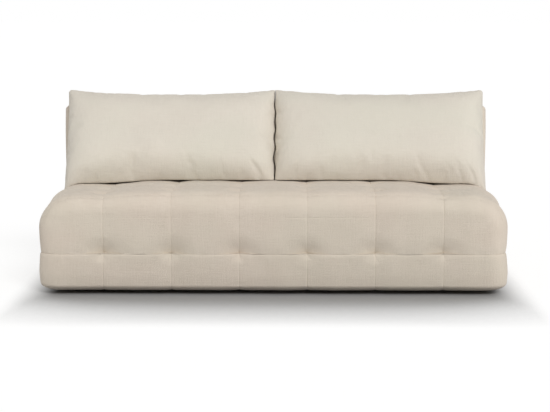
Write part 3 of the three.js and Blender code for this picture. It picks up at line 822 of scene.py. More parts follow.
@dataclass(frozen=True)
class Seams:
    """Parallel seams across one axis, which draw the padding in and pucker the fabric beside them."""

    axis: Axis
    places: tuple[float, ...]
    depth: float
    reach: float
    firmness: float = 2.4
    groove: float = 0.0012
    groove_width: float = 0.0032
    pucker: float = 0.0007
    pucker_reach: float = 0.022
    pucker_length: float = 0.030
    pucker_stretch: float = 0.25
    pucker_seed: int = 11
    patchy: float = 0.0
    patches: Unevenness = Unevenness(1.0, 0.45, 31)
    top_only: bool = False

    def offset(self, points: Points) -> Points:
        """Each point's place beside its nearest seam, below zero on the low side."""
        gaps = points[:, self.axis.value][:, None] - np.array(self.places)
        return gaps[np.arange(len(points)), np.abs(gaps).argmin(1)]

    def pull(self, points: Points) -> Points:
        """How far the padding is drawn in."""
        near = 1 - np.clip(np.abs(self.offset(points)) / self.reach, 0, 1)
        return self.depth * near**self.firmness

    def stitching(self, points: Points) -> Points:
        """The sewn line, and the small folds that run off it.

        Args:
            points: where on the plain surface.

        Returns:
            Their depth at each point.
        """
        gap = np.abs(self.offset(points))
        line = self.groove * np.clip(1 - gap / self.groove_width, 0, 1)
        line *= np.clip(1 - self.patchy * (0.5 + self.patches.at(points)), 0, 1)
        squeezed = points.copy()
        squeezed[:, self.axis.value] *= self.pucker_stretch
        folds = Unevenness(self.pucker, self.pucker_length, self.pucker_seed + self.axis.value).at(squeezed)
        return line + folds * np.exp(-gap / self.pucker_reach) * np.clip(gap / self.groove_width, 0, 1)


@dataclass(frozen=True)
class Tufts:
    """Dimples where two sets of seams cross, with folds that run out of them."""

    first: Seams
    second: Seams
    depth: float
    first_reach: float
    second_reach: float
    firmness: float = 1.7
    fold: float = 0.0016
    fold_reach: float = 0.035
    folds: int = 5
    plain_centre: float = 0.010
    unevenness: Unevenness = Unevenness(0.16, 0.35, 5)
    twist: Unevenness = Unevenness(1.5, 0.5, 23)

    def drop(self, points: Points) -> Points:
        """How deep the dimples are.

        Args:
            points: where on the plain surface.

        Returns:
            The depth at each point.
        """
        across, along = self.first.offset(points), self.second.offset(points)
        away = np.hypot(across / self.first_reach, along / self.second_reach)
        uneven = 1 + self.unevenness.at(points)
        dimple = self.depth * uneven * (1 - np.clip(away, 0, 1)) ** self.firmness
        distance = np.hypot(across, along)
        turn = self.folds * np.arctan2(along, across) + self.twist.at(points)
        star = np.cos(turn) * np.exp(-distance / self.fold_reach)
        return dimple + self.fold * star * np.clip(distance / self.plain_centre, 0, 1)


@dataclass(frozen=True)
class Quilting:
    """Seams both ways over padding, with tufts where they cross."""

    seams: tuple[Seams, ...]
    tufts: tuple[Tufts, ...]
    unevenness: Unevenness = Unevenness(0.0010, 0.16, 3)
    sharpness: float = 1.6
    lump_margin: float = 1.5
    top_turn: float = 0.35

    def drop(self, points: Points, direction: Points) -> Points:
        """How far the quilted surface lies below a plain, full one.

        Args:
            points: where on the plain surface.
            direction: the outward directions there.

        Returns:
            The drop at each point.
        """
        upward = np.clip(direction[:, 2] / self.top_turn, 0, 1)
        pulls, lines = 0.0, 0.0
        for seams in self.seams:
            share = upward if seams.top_only else 1.0
            pulls = pulls + (share * seams.pull(points)) ** self.sharpness
            lines = lines + share * seams.stitching(points)
        dimples = 0.0
        for tufts in self.tufts:
            dimples = dimples + (upward if tufts.second.top_only else 1.0) * tufts.drop(points)
        lumps = self.unevenness.at(points) - self.lump_margin * self.unevenness.height
        return pulls ** (1 / self.sharpness) + dimples + lines - lumps

    def lines(self, axis: Axis) -> list[float]:
        """All the seams' places across one axis."""
        return [place for seams in self.seams if seams.axis is axis for place in seams.places]


@dataclass(frozen=True)
class SeatUpholstery:
    """The quilted cover of the seat and the foam under it."""

    node: str = "seat_cover"
    foam_node: str = "seat_foam"
    edge_radius: float = 0.100
    rear_radius: float = 0.030
    shoulder_radius: float = 0.170
    rear_shoulder_radius: float = 0.136
    shoulder_turns: tuple[float, float] = (-0.370, -0.140)
    foam_radius: float = 0.120
    column_pitch: float = 0.289
    row_pitch: float = 0.160
    first_row: float = 0.130
    join_below_top: float = 0.116
    panel_seam: float = 0.022
    side_fullness: float = 0.008
    sink: float = 0.008
    sink_front: float = -0.210
    sink_rear: float = -0.030
    side_fall: float = 0.015
    fall_start: float = 0.50
    fall_end: float = 0.80
    step: float = 0.009
    foam_step: float = 0.02
    pocket_step: float = 0.03
    fit: float = 0.0005
    arm_margin: float = 0.009

    def column_places(self) -> tuple[float, ...]:
        """The seams that run from front to rear."""
        return tuple(self.column_pitch * (i + 0.5) for i in range(-3, 3))

    def row_places(self, rear: float) -> tuple[float, ...]:
        """The seams that run across.

        Args:
            rear: where the upholstery ends.

        Returns:
            Their places, from the front.
        """
        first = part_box(self.node)[0].y + self.first_row
        count = int((rear - self.row_pitch / 2 - first) / self.row_pitch) + 1
        return tuple(first + self.row_pitch * i for i in range(count))

    def shape(self) -> RoundedBox:
        """The full form of the seat, without its shoulders.

        Returns:
            The rounded box.
        """
        low, high = (np.array(corner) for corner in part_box(self.node))
        return RoundedBox(
            low,
            high,
            np.array([self.edge_radius, self.edge_radius, 0.0]),
            np.array([self.edge_radius, self.rear_radius, self.edge_radius]),
        )

    def quilting(self) -> Quilting:
        """The seat's seams.

        Returns:
            The quilting.
        """
        low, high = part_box(self.node)
        half = self.column_pitch / 2
        columns = Seams(Axis.X, self.column_places(), 0.0075, half)
        rows = Seams(Axis.Y, self.row_places(high.y), 0.0090, self.row_pitch / 2)
        foot = Seams(Axis.Z, (low.z,), 0.0025, 0.050, groove=0.0, pucker=0.0012)
        join_place, panel_place = high.z - self.join_below_top, low.y + self.panel_seam
        join = Seams(Axis.Z, (join_place,), 0.0, half, groove=0.0007, pucker=0.0003, patchy=1.0)
        panel = Seams(Axis.Y, (panel_place,), 0.0008, 0.03, groove=0.0009, pucker=0.0008, top_only=True)
        tufts = (
            Tufts(columns, foot, 0.031, 0.120, 0.090, 1.8, fold=-0.0013, fold_reach=0.030),
            Tufts(rows, foot, 0.014, 0.060, 0.060),
            Tufts(columns, rows, 0.032, 0.070, 0.065, fold=-0.0028, fold_reach=0.045),
            Tufts(columns, panel, 0.002, 0.030, 0.030, fold=0.0012, fold_reach=0.022),
        )
        return Quilting((columns, rows, foot, join, panel), tufts)

    def shoulder(self, depth: Points) -> Points:
        """The round of the upper side edges, which is tighter under the cushions."""
        share = eased(depth, *self.shoulder_turns)
        return self.shoulder_radius + (self.rear_shoulder_radius - self.shoulder_radius) * share

    def shouldered(self, surface: Points, direction: Points) -> tuple[Points, Points]:
        """Turn the upper side edges of the rounded box into their wider round.

        Args:
            surface: points on the rounded box.
            direction: the outward directions there.

        Returns:
            The points on the wider round, and the directions there.
        """
        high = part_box(self.node)[1]
        radius = self.shoulder(surface[:, 1])
        flat = radius - self.edge_radius
        side = np.where(surface[:, 0] < 0, -1.0, 1.0)
        across = np.abs(surface[:, 0]) - (high.x - radius)
        up = surface[:, 2] - (high.z - radius)
        inside = (across > 0) & (up > 0)
        angle = np.arctan2(np.where(inside, up, 1.0), np.where(inside, across, 1.0))
        cos, sin = np.cos(angle), np.sin(angle)
        slant = flat * (cos + sin)
        arc = slant + np.sqrt(np.maximum(slant**2 - 2 * flat**2 + self.edge_radius**2, 0))
        straight = radius / np.maximum(cos, sin)
        plain = np.where(np.minimum(cos, sin) * radius <= np.maximum(cos, sin) * flat, straight, arc)
        share = np.where(inside, radius / plain, 1.0)
        facing = np.hypot(direction[:, 0], direction[:, 2])
        surface, direction = surface.copy(), direction.copy()
        surface[:, 0] = np.where(inside, side * (high.x - radius + across * share), surface[:, 0])
        surface[:, 2] = np.where(inside, high.z - radius + up * share, surface[:, 2])
        direction[:, 0] = np.where(inside, side * facing * cos, direction[:, 0])
        direction[:, 2] = np.where(inside, facing * sin, direction[:, 2])
        return surface, direction

    def sunk(self, across: Points, depth: Points) -> Points:
        """How far the cushions press the top down, and how far it falls towards the sides."""
        pressed = self.sink * eased(depth, self.sink_front, self.sink_rear)
        return pressed + self.side_fall * eased(np.abs(across), self.fall_start, self.fall_end)

    def crown(self, across: Points, depth: Points) -> Points:
        """The height of the full seat, without its seams.

        Args:
            across: how far to the right of the middle.
            depth: how far to the rear.

        Returns:
            The height at each place.
        """
        high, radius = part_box(self.node)[1], self.shoulder(depth)
        beyond = np.clip(np.abs(across) - (high.x - radius), 0, radius)
        fall = radius - np.sqrt(radius**2 - beyond**2)
        return high.z - fall - self.sunk(across, depth)

    def outer(self, points: Points) -> Points:
        """Points of the plain box moved onto the quilted surface.

        Args:
            points: the points on the plain box.

        Returns:
            The points on the quilted surface.
        """
        surface, direction = self.shouldered(*self.shape().surface(points))
        plain_rear = 1 - np.clip(direction[:, 1], 0, 1)
        drop = self.quilting().drop(points, direction) * plain_rear
        height = (points[:, 2] - points[:, 2].min()) / self.shoulder_radius
        drop -= self.side_fullness * direction[:, 0] ** 2 * np.clip(height, 0, 1) ** 0.5
        surface = surface - direction * drop[:, None]
        surface[:, 2] -= self.sunk(surface[:, 0], surface[:, 1]) * np.clip(direction[:, 2], 0, 1)
        return surface

    def build(self, fabric: bpy.types.Material, foam: bpy.types.Material) -> list[bpy.types.Object]:
        """Make the cover and the foam.

        Args:
            fabric: the cover's material.
            foam: the foam's material.

        Returns:
            The two pieces.
        """
        shape, quilting = self.shape(), self.quilting()
        lines = [shape.lines(axis, self.step, quilting.lines(axis)) for axis in Axis]
        points, faces = skin(lines, NO_UNDERSIDE)
        cover = make_piece("seat_upholstery", self.outer(points), faces)
        close_open_edges(cover)
        foam_low, foam_high = (np.array(corner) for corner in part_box(self.foam_node))
        pocket_low = np.array([*(foam_low[:2] - self.fit), 0.0])
        tools = [self.core("pocket", pocket_low, foam_high + self.fit, self.pocket_step)]
        arm_low, arm_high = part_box("seat_arm_right")
        slot_front, slot_rear = foam_high[1] - self.rear_radius, shape.high[1] + self.step
        rail_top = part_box("seat_rear_rail")[1].z
        for side in Side:
            ends = [side.value * x for x in (arm_low.x - self.arm_margin, arm_high.x + self.arm_margin)]
            tools.append(block((min(ends), slot_front, 0.0), (max(ends), slot_rear, rail_top)))
        cut_away(cover, tools)
        dress(cover, fabric)
        smooth(cover)
        padding = self.core("seat_padding", foam_low, foam_high, self.foam_step)
        dress(padding, foam)
        smooth(padding)
        for piece, node, slot in ((cover, self.node, Slot.COVER), (padding, self.foam_node, Slot.FOAM)):
            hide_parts(node)
            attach(piece, Body.SEAT.value)
        return [cover, padding]

    def core(self, name: str, low: Points, high: Points, step: float) -> bpy.types.Object:
        """The block of foam, or its pocket in the cover.

        Args:
            name: what it is called.
            low: its low corner.
            high: its high corner.
            step: how far apart its lines are.

        Returns:
            The block.
        """
        radii = np.array([self.foam_radius, 0.0, 0.0])
        box = RoundedBox(low, high, radii, np.array([self.foam_radius, 0.0, self.foam_radius]))
        points, faces = skin([box.lines(axis, step) for axis in Axis], ALL_SIDES)
        return make_piece(name, box.surface(points)[0], faces)


@dataclass(frozen=True)
class BaseUpholstery:
    """The padded border round the front and sides of the base."""

    nodes: tuple[str, ...] = ("base_front_cover", "base_side_cover_left", "base_side_cover_right")
    edge_radius: float = 0.100
    undercut: float = 0.034
    tuck: float = 0.008
    tuck_height: float = 0.080
    tuck_power: float = 1.5
    plain_below: float = 0.85
    underside: float = 0.011
    side_fullness: float = 0.008
    step: float = 0.009
    fit: float = 0.0005

    def shape(self) -> RoundedBox:
        """The full form of the base.

        Returns:
            The rounded box.
        """
        corners = [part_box(node) for node in self.nodes]
        low = np.min([corner[0] for corner in corners], 0)
        high = np.max([corner[1] for corner in corners], 0)
        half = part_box("seat_cover")[1].x
        low[0], low[2], high[0] = -half, self.underside, half
        return RoundedBox(
            low,
            high,
            np.array([self.edge_radius, self.edge_radius, self.undercut]),
            np.array([self.edge_radius, 0.0, 0.0]),
        )

    def quilting(self, seat: SeatUpholstery) -> Quilting:
        """The base's seams, below those of the seat.

        Args:
            seat: the seat's upholstery.

        Returns:
            The quilting.
        """
        shape = self.shape()
        columns = Seams(Axis.X, seat.column_places(), 0.0045, seat.column_pitch / 2)
        rows = Seams(Axis.Y, seat.row_places(shape.high[1]), 0.0045, seat.row_pitch / 2)
        head = Seams(Axis.Z, (shape.high[2],), 0.0036, 0.014, groove=0.0, pucker=0.0010)
        foot = Seams(Axis.Z, (shape.low[2],), 0.0, 0.020, groove=0.0, pucker=0.0)
        tufts = (
            Tufts(columns, head, 0.013, 0.075, 0.050, 2.0),
            Tufts(rows, head, 0.009, 0.055, 0.045),
            Tufts(columns, foot, 0.006, 0.018, 0.040, fold=0.0008),
        )
        return Quilting((columns, rows, head, foot), tufts)

    def build(self, seat: SeatUpholstery, fabric: bpy.types.Material) -> list[bpy.types.Object]:
        """Make the border.

        Args:
            seat: the seat's upholstery, which the seams continue.
            fabric: the border's material.

        Returns:
            The piece.
        """
        shape, quilting = self.shape(), self.quilting(seat)
        lines = [shape.lines(axis, self.step, quilting.lines(axis)) for axis in Axis]
        points, faces = skin(lines, ALL_SIDES)
        surface, direction = shape.surface(points)
        drop = quilting.drop(points, direction)
        drop *= 1 - self.plain_below * np.clip(-direction[:, 2], 0, 1)
        height = (shape.high[2] - points[:, 2]) / (shape.high[2] - shape.low[2])
        drop -= self.side_fullness * direction[:, 0] ** 2 * np.clip(2 * height, 0, 1) ** 0.5
        surface -= direction * drop[:, None]
        above = np.clip((surface[:, 2] - shape.low[2]) / self.tuck_height, 0, 1)
        surface[:, :2] -= direction[:, :2] * (self.tuck * (1 - above) ** self.tuck_power)[:, None]
        border = make_piece("base_border", surface, faces)
        inner_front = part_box("base_front_cover")[1].y
        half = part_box("base_side_panel_right")[1].x + self.fit
        cut_away(border, [block((-half, inner_front, -half), (half, half, half))])
        dress(border, fabric)
        smooth(border)
        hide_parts(*self.nodes)
        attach(border, Body.BASE.value)
        return [border]


@dataclass(frozen=True)
class BackUpholstery:
    """The plain padded cover of the backrest, made upright about the hinge and leant back."""

    node: str = "back_cover"
    foam_node: str = "back_foam"
    recline: float = math.radians(12)
    front: float = 0.100
    rear: float = 0.080
    down: float = 0.100
    up: float = 0.425
    corner_radius: float = 0.050
    edge_radius: float = 0.024
    crown: float = 0.008
    side_fullness: float = 0.009
    fullness_turns: tuple[float, float] = (0.02, 0.36)
    front_skin: float = 0.015
    lining: float = 0.008
    foam_depth: float = 0.025
    foam_radius: float = 0.006
    foam_step: float = 0.03
    seam_depth: float = 0.0022
    seam_turn: float = 0.16
    least_turn: float = 0.3
    bay_height: float = 0.115
    bay_depth: float = 0.058
    bay_width: float = 0.034
    beyond: float = 0.3
    fit: float = 0.0003
    step: float = 0.014

    def lean(self, points: Points) -> Points:
        """Turn the upright backrest to its rest position.

        Args:
            points: points about the hinge line.

        Returns:
            The points in the row frame.
        """
        hinge = joint_place("backrest_recline")
        sin, cos = math.sin(self.recline), math.cos(self.recline)
        y, z = points[:, 1], points[:, 2]
        return np.stack([points[:, 0], hinge.y + y * cos + z * sin, hinge.z - y * sin + z * cos], -1)

    def leaning_block(self, low: Sequence[float], high: Sequence[float]) -> bpy.types.Object:
        """A block to cut with, leant back like the backrest.

        Args:
            low: its low corner about the hinge line.
            high: its high corner about the hinge line.

        Returns:
            The block.
        """
        tool = block(low, high)
        write_points(tool.data, self.lean(read_points(tool.data)))
        return tool

    def outer(self) -> tuple[Points, Points]:
        """The padded surface, a little fuller towards the top of its sides, with seams along its edges.

        Returns:
            The points about the hinge line, and the faces.
        """
        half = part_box(self.node)[1].x + self.side_fullness
        shape = RoundedBox(
            np.array([-half, -self.front, -self.down]),
            np.array([half, self.rear, self.up]),
            np.array([self.edge_radius, self.corner_radius, self.corner_radius]),
            np.full(3, self.edge_radius),
        )
        points, faces = skin([shape.lines(axis, self.step) for axis in Axis], ALL_SIDES)
        surface, direction = shape.surface(points)
        across = points[:, 0] / half
        up = (2 * points[:, 2] - self.up + self.down) / (self.up + self.down)
        hollow = self.crown * (1 - (1 - across**4) * (1 - np.clip(up, -1, 1) ** 2))
        surface[:, 1] += hollow * np.clip(-direction[:, 1], 0, 1)
        plain = 1 - eased(points[:, 2], *self.fullness_turns)
        surface[:, 0] -= direction[:, 0] * self.side_fullness * plain
        _, second, first = np.sort(np.abs(direction), axis=1).T
        seam = np.clip(1 - (first - second) / self.seam_turn, 0, 1) * (second > self.least_turn)
        return surface - direction * (self.seam_depth * seam)[:, None], faces

    def hollows(self) -> list[bpy.types.Object]:
        """What the frame and the hinges take out of the cover.

        Returns:
            The blocks to cut with.
        """
        stile_low, stile_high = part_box("back_outer_stile_right")
        half, inner_rear = stile_high.x + self.fit, self.rear - self.lining
        tools = [
            self.leaning_block(
                (-half, -self.front + self.front_skin, -self.down + self.corner_radius),
                (half, inner_rear, self.up - self.lining),
            ),
            self.leaning_block(
                (-half, -self.corner_radius, -self.down + self.lining),
                (half, inner_rear, -self.down + self.corner_radius + self.fit),
            ),
        ]
        for side in Side:
            ends = (side.value * stile_low.x, side.value * (stile_low.x - self.bay_width))
            low = (min(ends), -self.bay_depth, -self.beyond)
            tools.append(self.leaning_block(low, (max(ends), self.beyond, self.bay_height)))
        return tools

    def build(self, fabric: bpy.types.Material, foam: bpy.types.Material) -> list[bpy.types.Object]:
        """Make the cover and its foam.

        Args:
            fabric: the cover's material.
            foam: the foam's material.

        Returns:
            The two pieces.
        """
        surface, faces = self.outer()
        cover = make_piece("back_upholstery", self.lean(surface), faces)
        cut_away(cover, self.hollows())
        dress(cover, fabric)
        smooth(cover)
        padding = self.build_foam(foam)
        for piece, node, slot in ((cover, self.node, Slot.COVER), (padding, self.foam_node, Slot.FOAM)):
            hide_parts(node)
            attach(piece, Body.BACKREST.value)
        return [cover, padding]

    def build_foam(self, foam: bpy.types.Material) -> bpy.types.Object:
        """The sheet of foam in front of the frame.

        Args:
            foam: its material.

        Returns:
            The piece.
        """
        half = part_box("back_outer_stile_right")[1].x - self.fit
        front = -self.front + self.front_skin + self.fit
        box = RoundedBox(
            np.array([-half, front, -self.down + self.corner_radius + self.fit]),
            np.array([half, front + self.foam_depth - 2 * self.fit, self.up - self.lining - self.fit]),
            np.full(3, self.foam_radius),
            np.full(3, self.foam_radius),
        )
        points, faces = skin([box.lines(axis, self.foam_step) for axis in Axis], ALL_SIDES)
        surface, _ = box.surface(points)
        piece = make_piece("back_padding", self.lean(surface), faces)
        dress(piece, foam)
        smooth(piece)
        return piece


@dataclass(frozen=True)
class Filling:
    """Loose filling, which swells a sewn cover from within."""

    pressure: float = 4.0
    frames: int = 20
    most: float = 0.016
    quality: int = 6
    mass: float = 0.25
    shrink: float = -0.012

    def swell(self, piece: bpy.types.Object, seam: Points) -> None:
        """Let the filling push the cover out, as cloth, by no more than most.

        Args:
            piece: the closed mesh of the cover.
            seam: the numbers of the points that the seam holds in place.
        """
        before = read_points(piece.data)
        held = piece.vertex_groups.new(name="seam")
        held.add([int(number) for number in seam], 1.0, "REPLACE")
        modifier = piece.modifiers.new("filling", "CLOTH")
        modifier.collision_settings.use_collision = False
        modifier.point_cache.frame_start = 1
        modifier.point_cache.frame_end = self.frames
        settings = modifier.settings
        settings.quality = self.quality
        settings.mass = self.mass
        settings.use_pressure = True
        settings.uniform_pressure_force = self.pressure
        settings.effector_weights.gravity = 0.0
        settings.shrink_min = self.shrink
        settings.vertex_group_mass = held.name
        for frame in range(1, self.frames + 1):
            bpy.context.scene.frame_set(frame)
        graph = bpy.context.evaluated_depsgraph_get()
        moved = read_points(piece.evaluated_get(graph).data) - before
        length = np.linalg.norm(moved, axis=1, keepdims=True)
        share = self.most * np.tanh(length / self.most) / np.maximum(length, TINY)
        piece.modifiers.remove(modifier)
        piece.vertex_groups.clear()
        write_points(piece.data, before + moved * share)
        bpy.context.scene.frame_set(1)


@dataclass(frozen=True)
class BackCushion:
    """A loose knife-edge cushion that stands on the seat and leans on the backrest."""

    side: Side
    width: float = 0.972
    gap: float = 0.004
    foot_forward: float = 0.326
    foot_sink: float = 0.050
    top_forward: float = 0.057
    rise: float = 0.388
    thickness: float = 0.252
    seam: float = 0.007
    corner: float = 0.022
    top_dip: float = 0.036
    waist: float = 0.007
    left_narrowing: float = 0.004
    foot_narrowing: float = 0.009
    sag_share: float = 0.12
    bulge_power: float = 0.52
    valley_depth: float = 0.004
    valley_place: float = 0.040
    valley_width: float = 0.022
    valley_reach: float = 0.17
    pucker: float = 0.0030
    pucker_length: float = 0.045
    pucker_reach: float = 0.050
    pucker_stretch: float = 0.2
    pucker_seed: int = 57
    columns: int = 120
    rows: int = 60
    press: float = 0.012
    press_waves: Unevenness = Unevenness(0.0020, 0.06, 71)
    press_stretch: float = 0.3
    touch: float = 0.0006
    meander: Unevenness = Unevenness(0.0042, 0.055, 83)
    meander_foot: tuple[float, float] = (0.02, 0.12)
    meander_head: tuple[float, float] = (0.12, 0.03)
    lip: float = 0.045
    contact: float = 0.0012
    above_back: float = 0.05
    droop: float = 0.040
    most_droop: float = 0.024
    crease_angle: float = math.radians(80)
    unevenness: Unevenness = Unevenness(0.0022, 0.30, 41)
    unevenness_shift: float = 0.3
    filling: Filling = Filling()

    @property
    def node(self) -> str:
        """The CAD node that the cushion stands for."""
        return f"back_cushion_{self.side.name.lower()}"

    def frame(self) -> tuple[Vector, float, float, float]:
        """How the cushion stands.

        Returns:
            The foot's place, the cushion's height, and the sine and cosine of its lean.
        """
        hinge = joint_place("backrest_recline")
        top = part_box("seat_cover")[1].z
        foot = Vector((0.0, hinge.y - self.foot_forward, top - self.foot_sink))
        run, rise = self.foot_forward - self.top_forward, self.foot_sink + self.rise
        height = math.hypot(run, rise)
        return foot, height, run / height, rise / height

    def surface(self, s: Points, t: Points, face: float) -> Points:
        """The sewn form before the filling swells it.

        Args:
            s: from -1 at the left side seam to 1 at the right one.
            t: from -1 at the lower seam to 1 at the upper one.
            face: 1 for the rear face and -1 for the front one.

        Returns:
            The points.
        """
        foot, height, sin, cos = self.frame()
        bulge = ((1 - s**8) * (1 - t**4)) ** self.bulge_power
        half = (self.seam + (self.thickness - self.seam) * bulge * (1 - self.sag_share * t)) / 2
        across, up = self.rounded(s * self.width / 2, t * height / 2, height)
        outward = self.side.value * s
        across -= s * self.waist * (1 - t**2) * s**4 * np.clip(outward, 0, 1)
        up -= self.top_dip * (1 - s**4) * ((t + 1) / 2) ** 6
        if self.side is Side.LEFT:
            across += self.left_narrowing * (1 - s) / 2
        across -= self.side.value * self.press * (1 - outward) / 2
        across -= self.side.value * self.foot_narrowing * (1 + outward) / 2 * (1 - t) / 2
        centre = self.side.value * (self.gap + self.width) / 2
        place = np.stack([across, up, s * 0], -1)
        half -= self.creases(across, up, face) * np.clip(bulge, 0, 1)
        half += self.unevenness.at(place + self.unevenness_shift * self.side.value) * bulge
        up = up + height / 2
        y = foot.y + up * sin + face * half * cos
        z = foot.z + up * cos - face * half * sin
        return np.stack([centre + across, y, z], -1)

    def rounded(self, across: Points, up: Points, height: float) -> tuple[Points, Points]:
        """Round the corners of the seam's outline.

        Args:
            across: places across the cushion, from its middle.
            up: places along its height, from its middle.
            height: the cushion's height.

        Returns:
            The places across and along.
        """
        beyond = np.clip(np.abs(across) - self.width / 2 + self.corner, 0, None) / self.corner
        above = np.clip(np.abs(up) - height / 2 + self.corner, 0, None) / self.corner
        inward = self.corner * beyond * (1 - np.sqrt(1 - above**2 / 2))
        downward = self.corner * above * (1 - np.sqrt(1 - beyond**2 / 2))
        return across - np.sign(across) * inward, up - np.sign(up) * downward

    def creases(self, across: Points, up: Points, face: float) -> Points:
        """A soft valley inside the right edge, and puckers that run in from the side seams.

        Args:
            across: places across the cushion, from its middle.
            up: places along its height, from its middle.
            face: 1 for the rear face and -1 for the front one.

        Returns:
            Their depth at each place.
        """
        from_right = self.width / 2 - across
        beside = (from_right - self.valley_place) / self.valley_width
        middle = np.exp(-((up / self.valley_reach) ** 4))
        valley = self.valley_depth * np.exp(-(beside**2)) * middle
        from_side = self.width / 2 - np.abs(across)
        waves = Unevenness(self.pucker, self.pucker_length, self.pucker_seed + self.side.value)
        ripples = waves.at(np.stack([across * self.pucker_stretch, up, across * 0], -1))
        return (face < 0) * valley + ripples * np.exp(-from_side / self.pucker_reach)

    def build(self, fabric: bpy.types.Material) -> list[bpy.types.Object]:
        """Make the cushion.

        Args:
            fabric: the cover's material.

        Returns:
            The piece.
        """
        lines = [
            np.sin(math.pi * (np.linspace(0, 1, self.columns + 1) - 0.5)),
            np.array([-1.0, 1.0]),
            np.sin(math.pi * (np.linspace(0, 1, self.rows + 1) - 0.5)),
        ]
        points, faces = skin(lines, ALL_SIDES)
        sewn = self.surface(points[:, 0], points[:, 2], points[:, 1])
        piece = make_piece(f"loose_cushion_{self.side.name.lower()}", sewn, faces)
        seam = np.flatnonzero((np.abs(points[:, 0]) == 1) | (np.abs(points[:, 2]) == 1))
        self.filling.swell(piece, seam)
        self.settle(piece)
        piece.modifiers.new("subdivide", "SUBSURF").levels = 1
        apply_modifiers(piece)
        dress(piece, fabric)
        smooth(piece, self.crease_angle)
        body = Body.CUSHION_LEFT if self.side is Side.LEFT else Body.CUSHION_RIGHT
        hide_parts(self.node)
        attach(piece, body.value)
        return [piece]

    def settle(self, piece: bpy.types.Object) -> None:
        """Flatten the cushion where it rests.

        Args:
            piece: the cushion, whose points are moved.
        """
        points = read_points(piece.data)
        self.lean_on_back(points)
        self.stand_on_seat(points)
        self.meet_other(points)
        write_points(piece.data, points)

    def lean_on_back(self, points: Points) -> None:
        """Flatten the cushion against the backrest.

        Args:
            points: its points, which are moved.
        """
        back, hinge = BackUpholstery(), joint_place("backrest_recline")
        sin, cos = math.sin(back.recline), math.cos(back.recline)
        y, z = points[:, 1] - hinge.y, points[:, 2] - hinge.z
        depth, up = y * cos - z * sin, y * sin + z * cos
        face = -back.front - self.contact
        depth = np.where((depth > face) & (up < back.up + self.above_back), face, depth)
        points[:, 1] = hinge.y + depth * cos + up * sin
        points[:, 2] = hinge.z - depth * sin + up * cos

    def stand_on_seat(self, points: Points) -> None:
        """Flatten the cushion's foot on the seat, and let its outer end hang onto the seat's shoulder.

        Args:
            points: its points, which are moved.
        """
        seat = SeatUpholstery()
        crown = seat.crown(points[:, 0], points[:, 1])
        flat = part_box(seat.node)[1].z - seat.sunk(points[:, 0] * 0, points[:, 1])
        hang = np.clip((flat + self.droop - points[:, 2]) / self.droop, 0, 1)
        points[:, 2] -= np.minimum(flat - crown, self.most_droop) * hang
        points[:, 2] = np.maximum(points[:, 2], crown + self.contact)

    def meet_other(self, points: Points) -> None:
        """Flatten the cushion where it presses on the other one, along a wavy line.

        Args:
            points: its points, which are moved.
        """
        foot, height, sin, cos = self.frame()
        ahead = (points[:, 2] - foot.z) * sin - (points[:, 1] - foot.y) * cos
        above = (points[:, 2] - foot.z) * cos + (points[:, 1] - foot.y) * sin
        waves = np.abs(self.press_waves.at(points * (0.0, self.press_stretch, 1.0)))
        nearest = self.touch + (self.gap / 2 + waves) * eased(ahead, 0.0, self.lip)
        head_start, head_end = (height - below for below in self.meander_head)
        inward = eased(above, *self.meander_foot) * (1 - eased(above, head_start, head_end))
        line = inward * self.meander.at(points * (0.0, 0.0, 1.0))
        outward = np.maximum(self.side.value * (points[:, 0] - line), nearest)
        points[:, 0] = line + self.side.value * outward


@dataclass(frozen=True)
class RearLining:
    """The dust cloth stretched over the rear of the base."""

    node: str = "base_rear_lining"
    thickness: float = 0.0012
    sag: float = 0.0012
    columns: int = 181
    rows: int = 17
    unevenness: Unevenness = Unevenness(0.5, 0.4, 2)

    def build(self, cloth: bpy.types.Material) -> list[bpy.types.Object]:
        """Make the cloth.

        Args:
            cloth: its material.

        Returns:
            The piece.
        """
        low, high = (np.array(corner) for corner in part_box(self.node))
        lines = [
            np.linspace(low[0], high[0], self.columns),
            np.array([low[1], low[1] + self.thickness]),
            np.linspace(low[2], high[2], self.rows),
        ]
        points, faces = skin(lines, ALL_SIDES)
        up = (points[:, 2] - low[2]) / (high[2] - low[2])
        points[:, 1] += self.sag * np.sin(math.pi * up) * (1 + self.unevenness.at(points)) / 2
        piece = make_piece("rear_dust_cloth", points, faces)
        dress(piece, cloth)
        smooth(piece)
        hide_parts(self.node)
        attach(piece, Body.BASE.value)
        return [piece]


@dataclass(frozen=True)
class Framework:
    """The timber, boards, steel and feet, which keep the CAD model's shapes."""

    timber: dict[Axis, bpy.types.Material]
    board: bpy.types.Material
    painted: bpy.types.Material
    zinc: bpy.types.Material
    plastic: bpy.types.Material
    crease: float = math.radians(40)

    def finish_of(self, node: str, size: Vector) -> bpy.types.Material | None:
        """The finish of a node, from its name.

        Args:
            node: the name.
            size: the node's size, because timber has its grain along its longest side.

        Returns:
            The finish, or None for a node that a piece of its own replaces.
        """
        if node.startswith(("seat_arm", "back_arm", "hinge_plate")):
            return self.painted
        if node.startswith(("pivot_bolt", "ratchet_pawl")):
            return self.zinc
        if node.endswith("_foot") or "_foot_" in node:
            return self.plastic
        if "panel" in node or node.startswith(("storage_", "base_rear_deck", "back_board")):
            return self.board
        if any(word in node for word in ("rail", "stile", "slat", "batten", "block")):
            return self.timber[Axis(max(range(3), key=lambda axis: size[axis]))]
        return None

    def dress(self) -> list[bpy.types.Object]:
        """Give each rigid node its finish.

        Returns:
            The nodes that have one now.
        """
        dressed = []
        for name, node in FRAME["nodes"].items():
            low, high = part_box(name)
            finish = self.finish_of(name, high - low)
            if finish is None:
                continue
            dress(node, finish)
            smooth(node, self.crease)
            dressed.append(node)
        return dressed


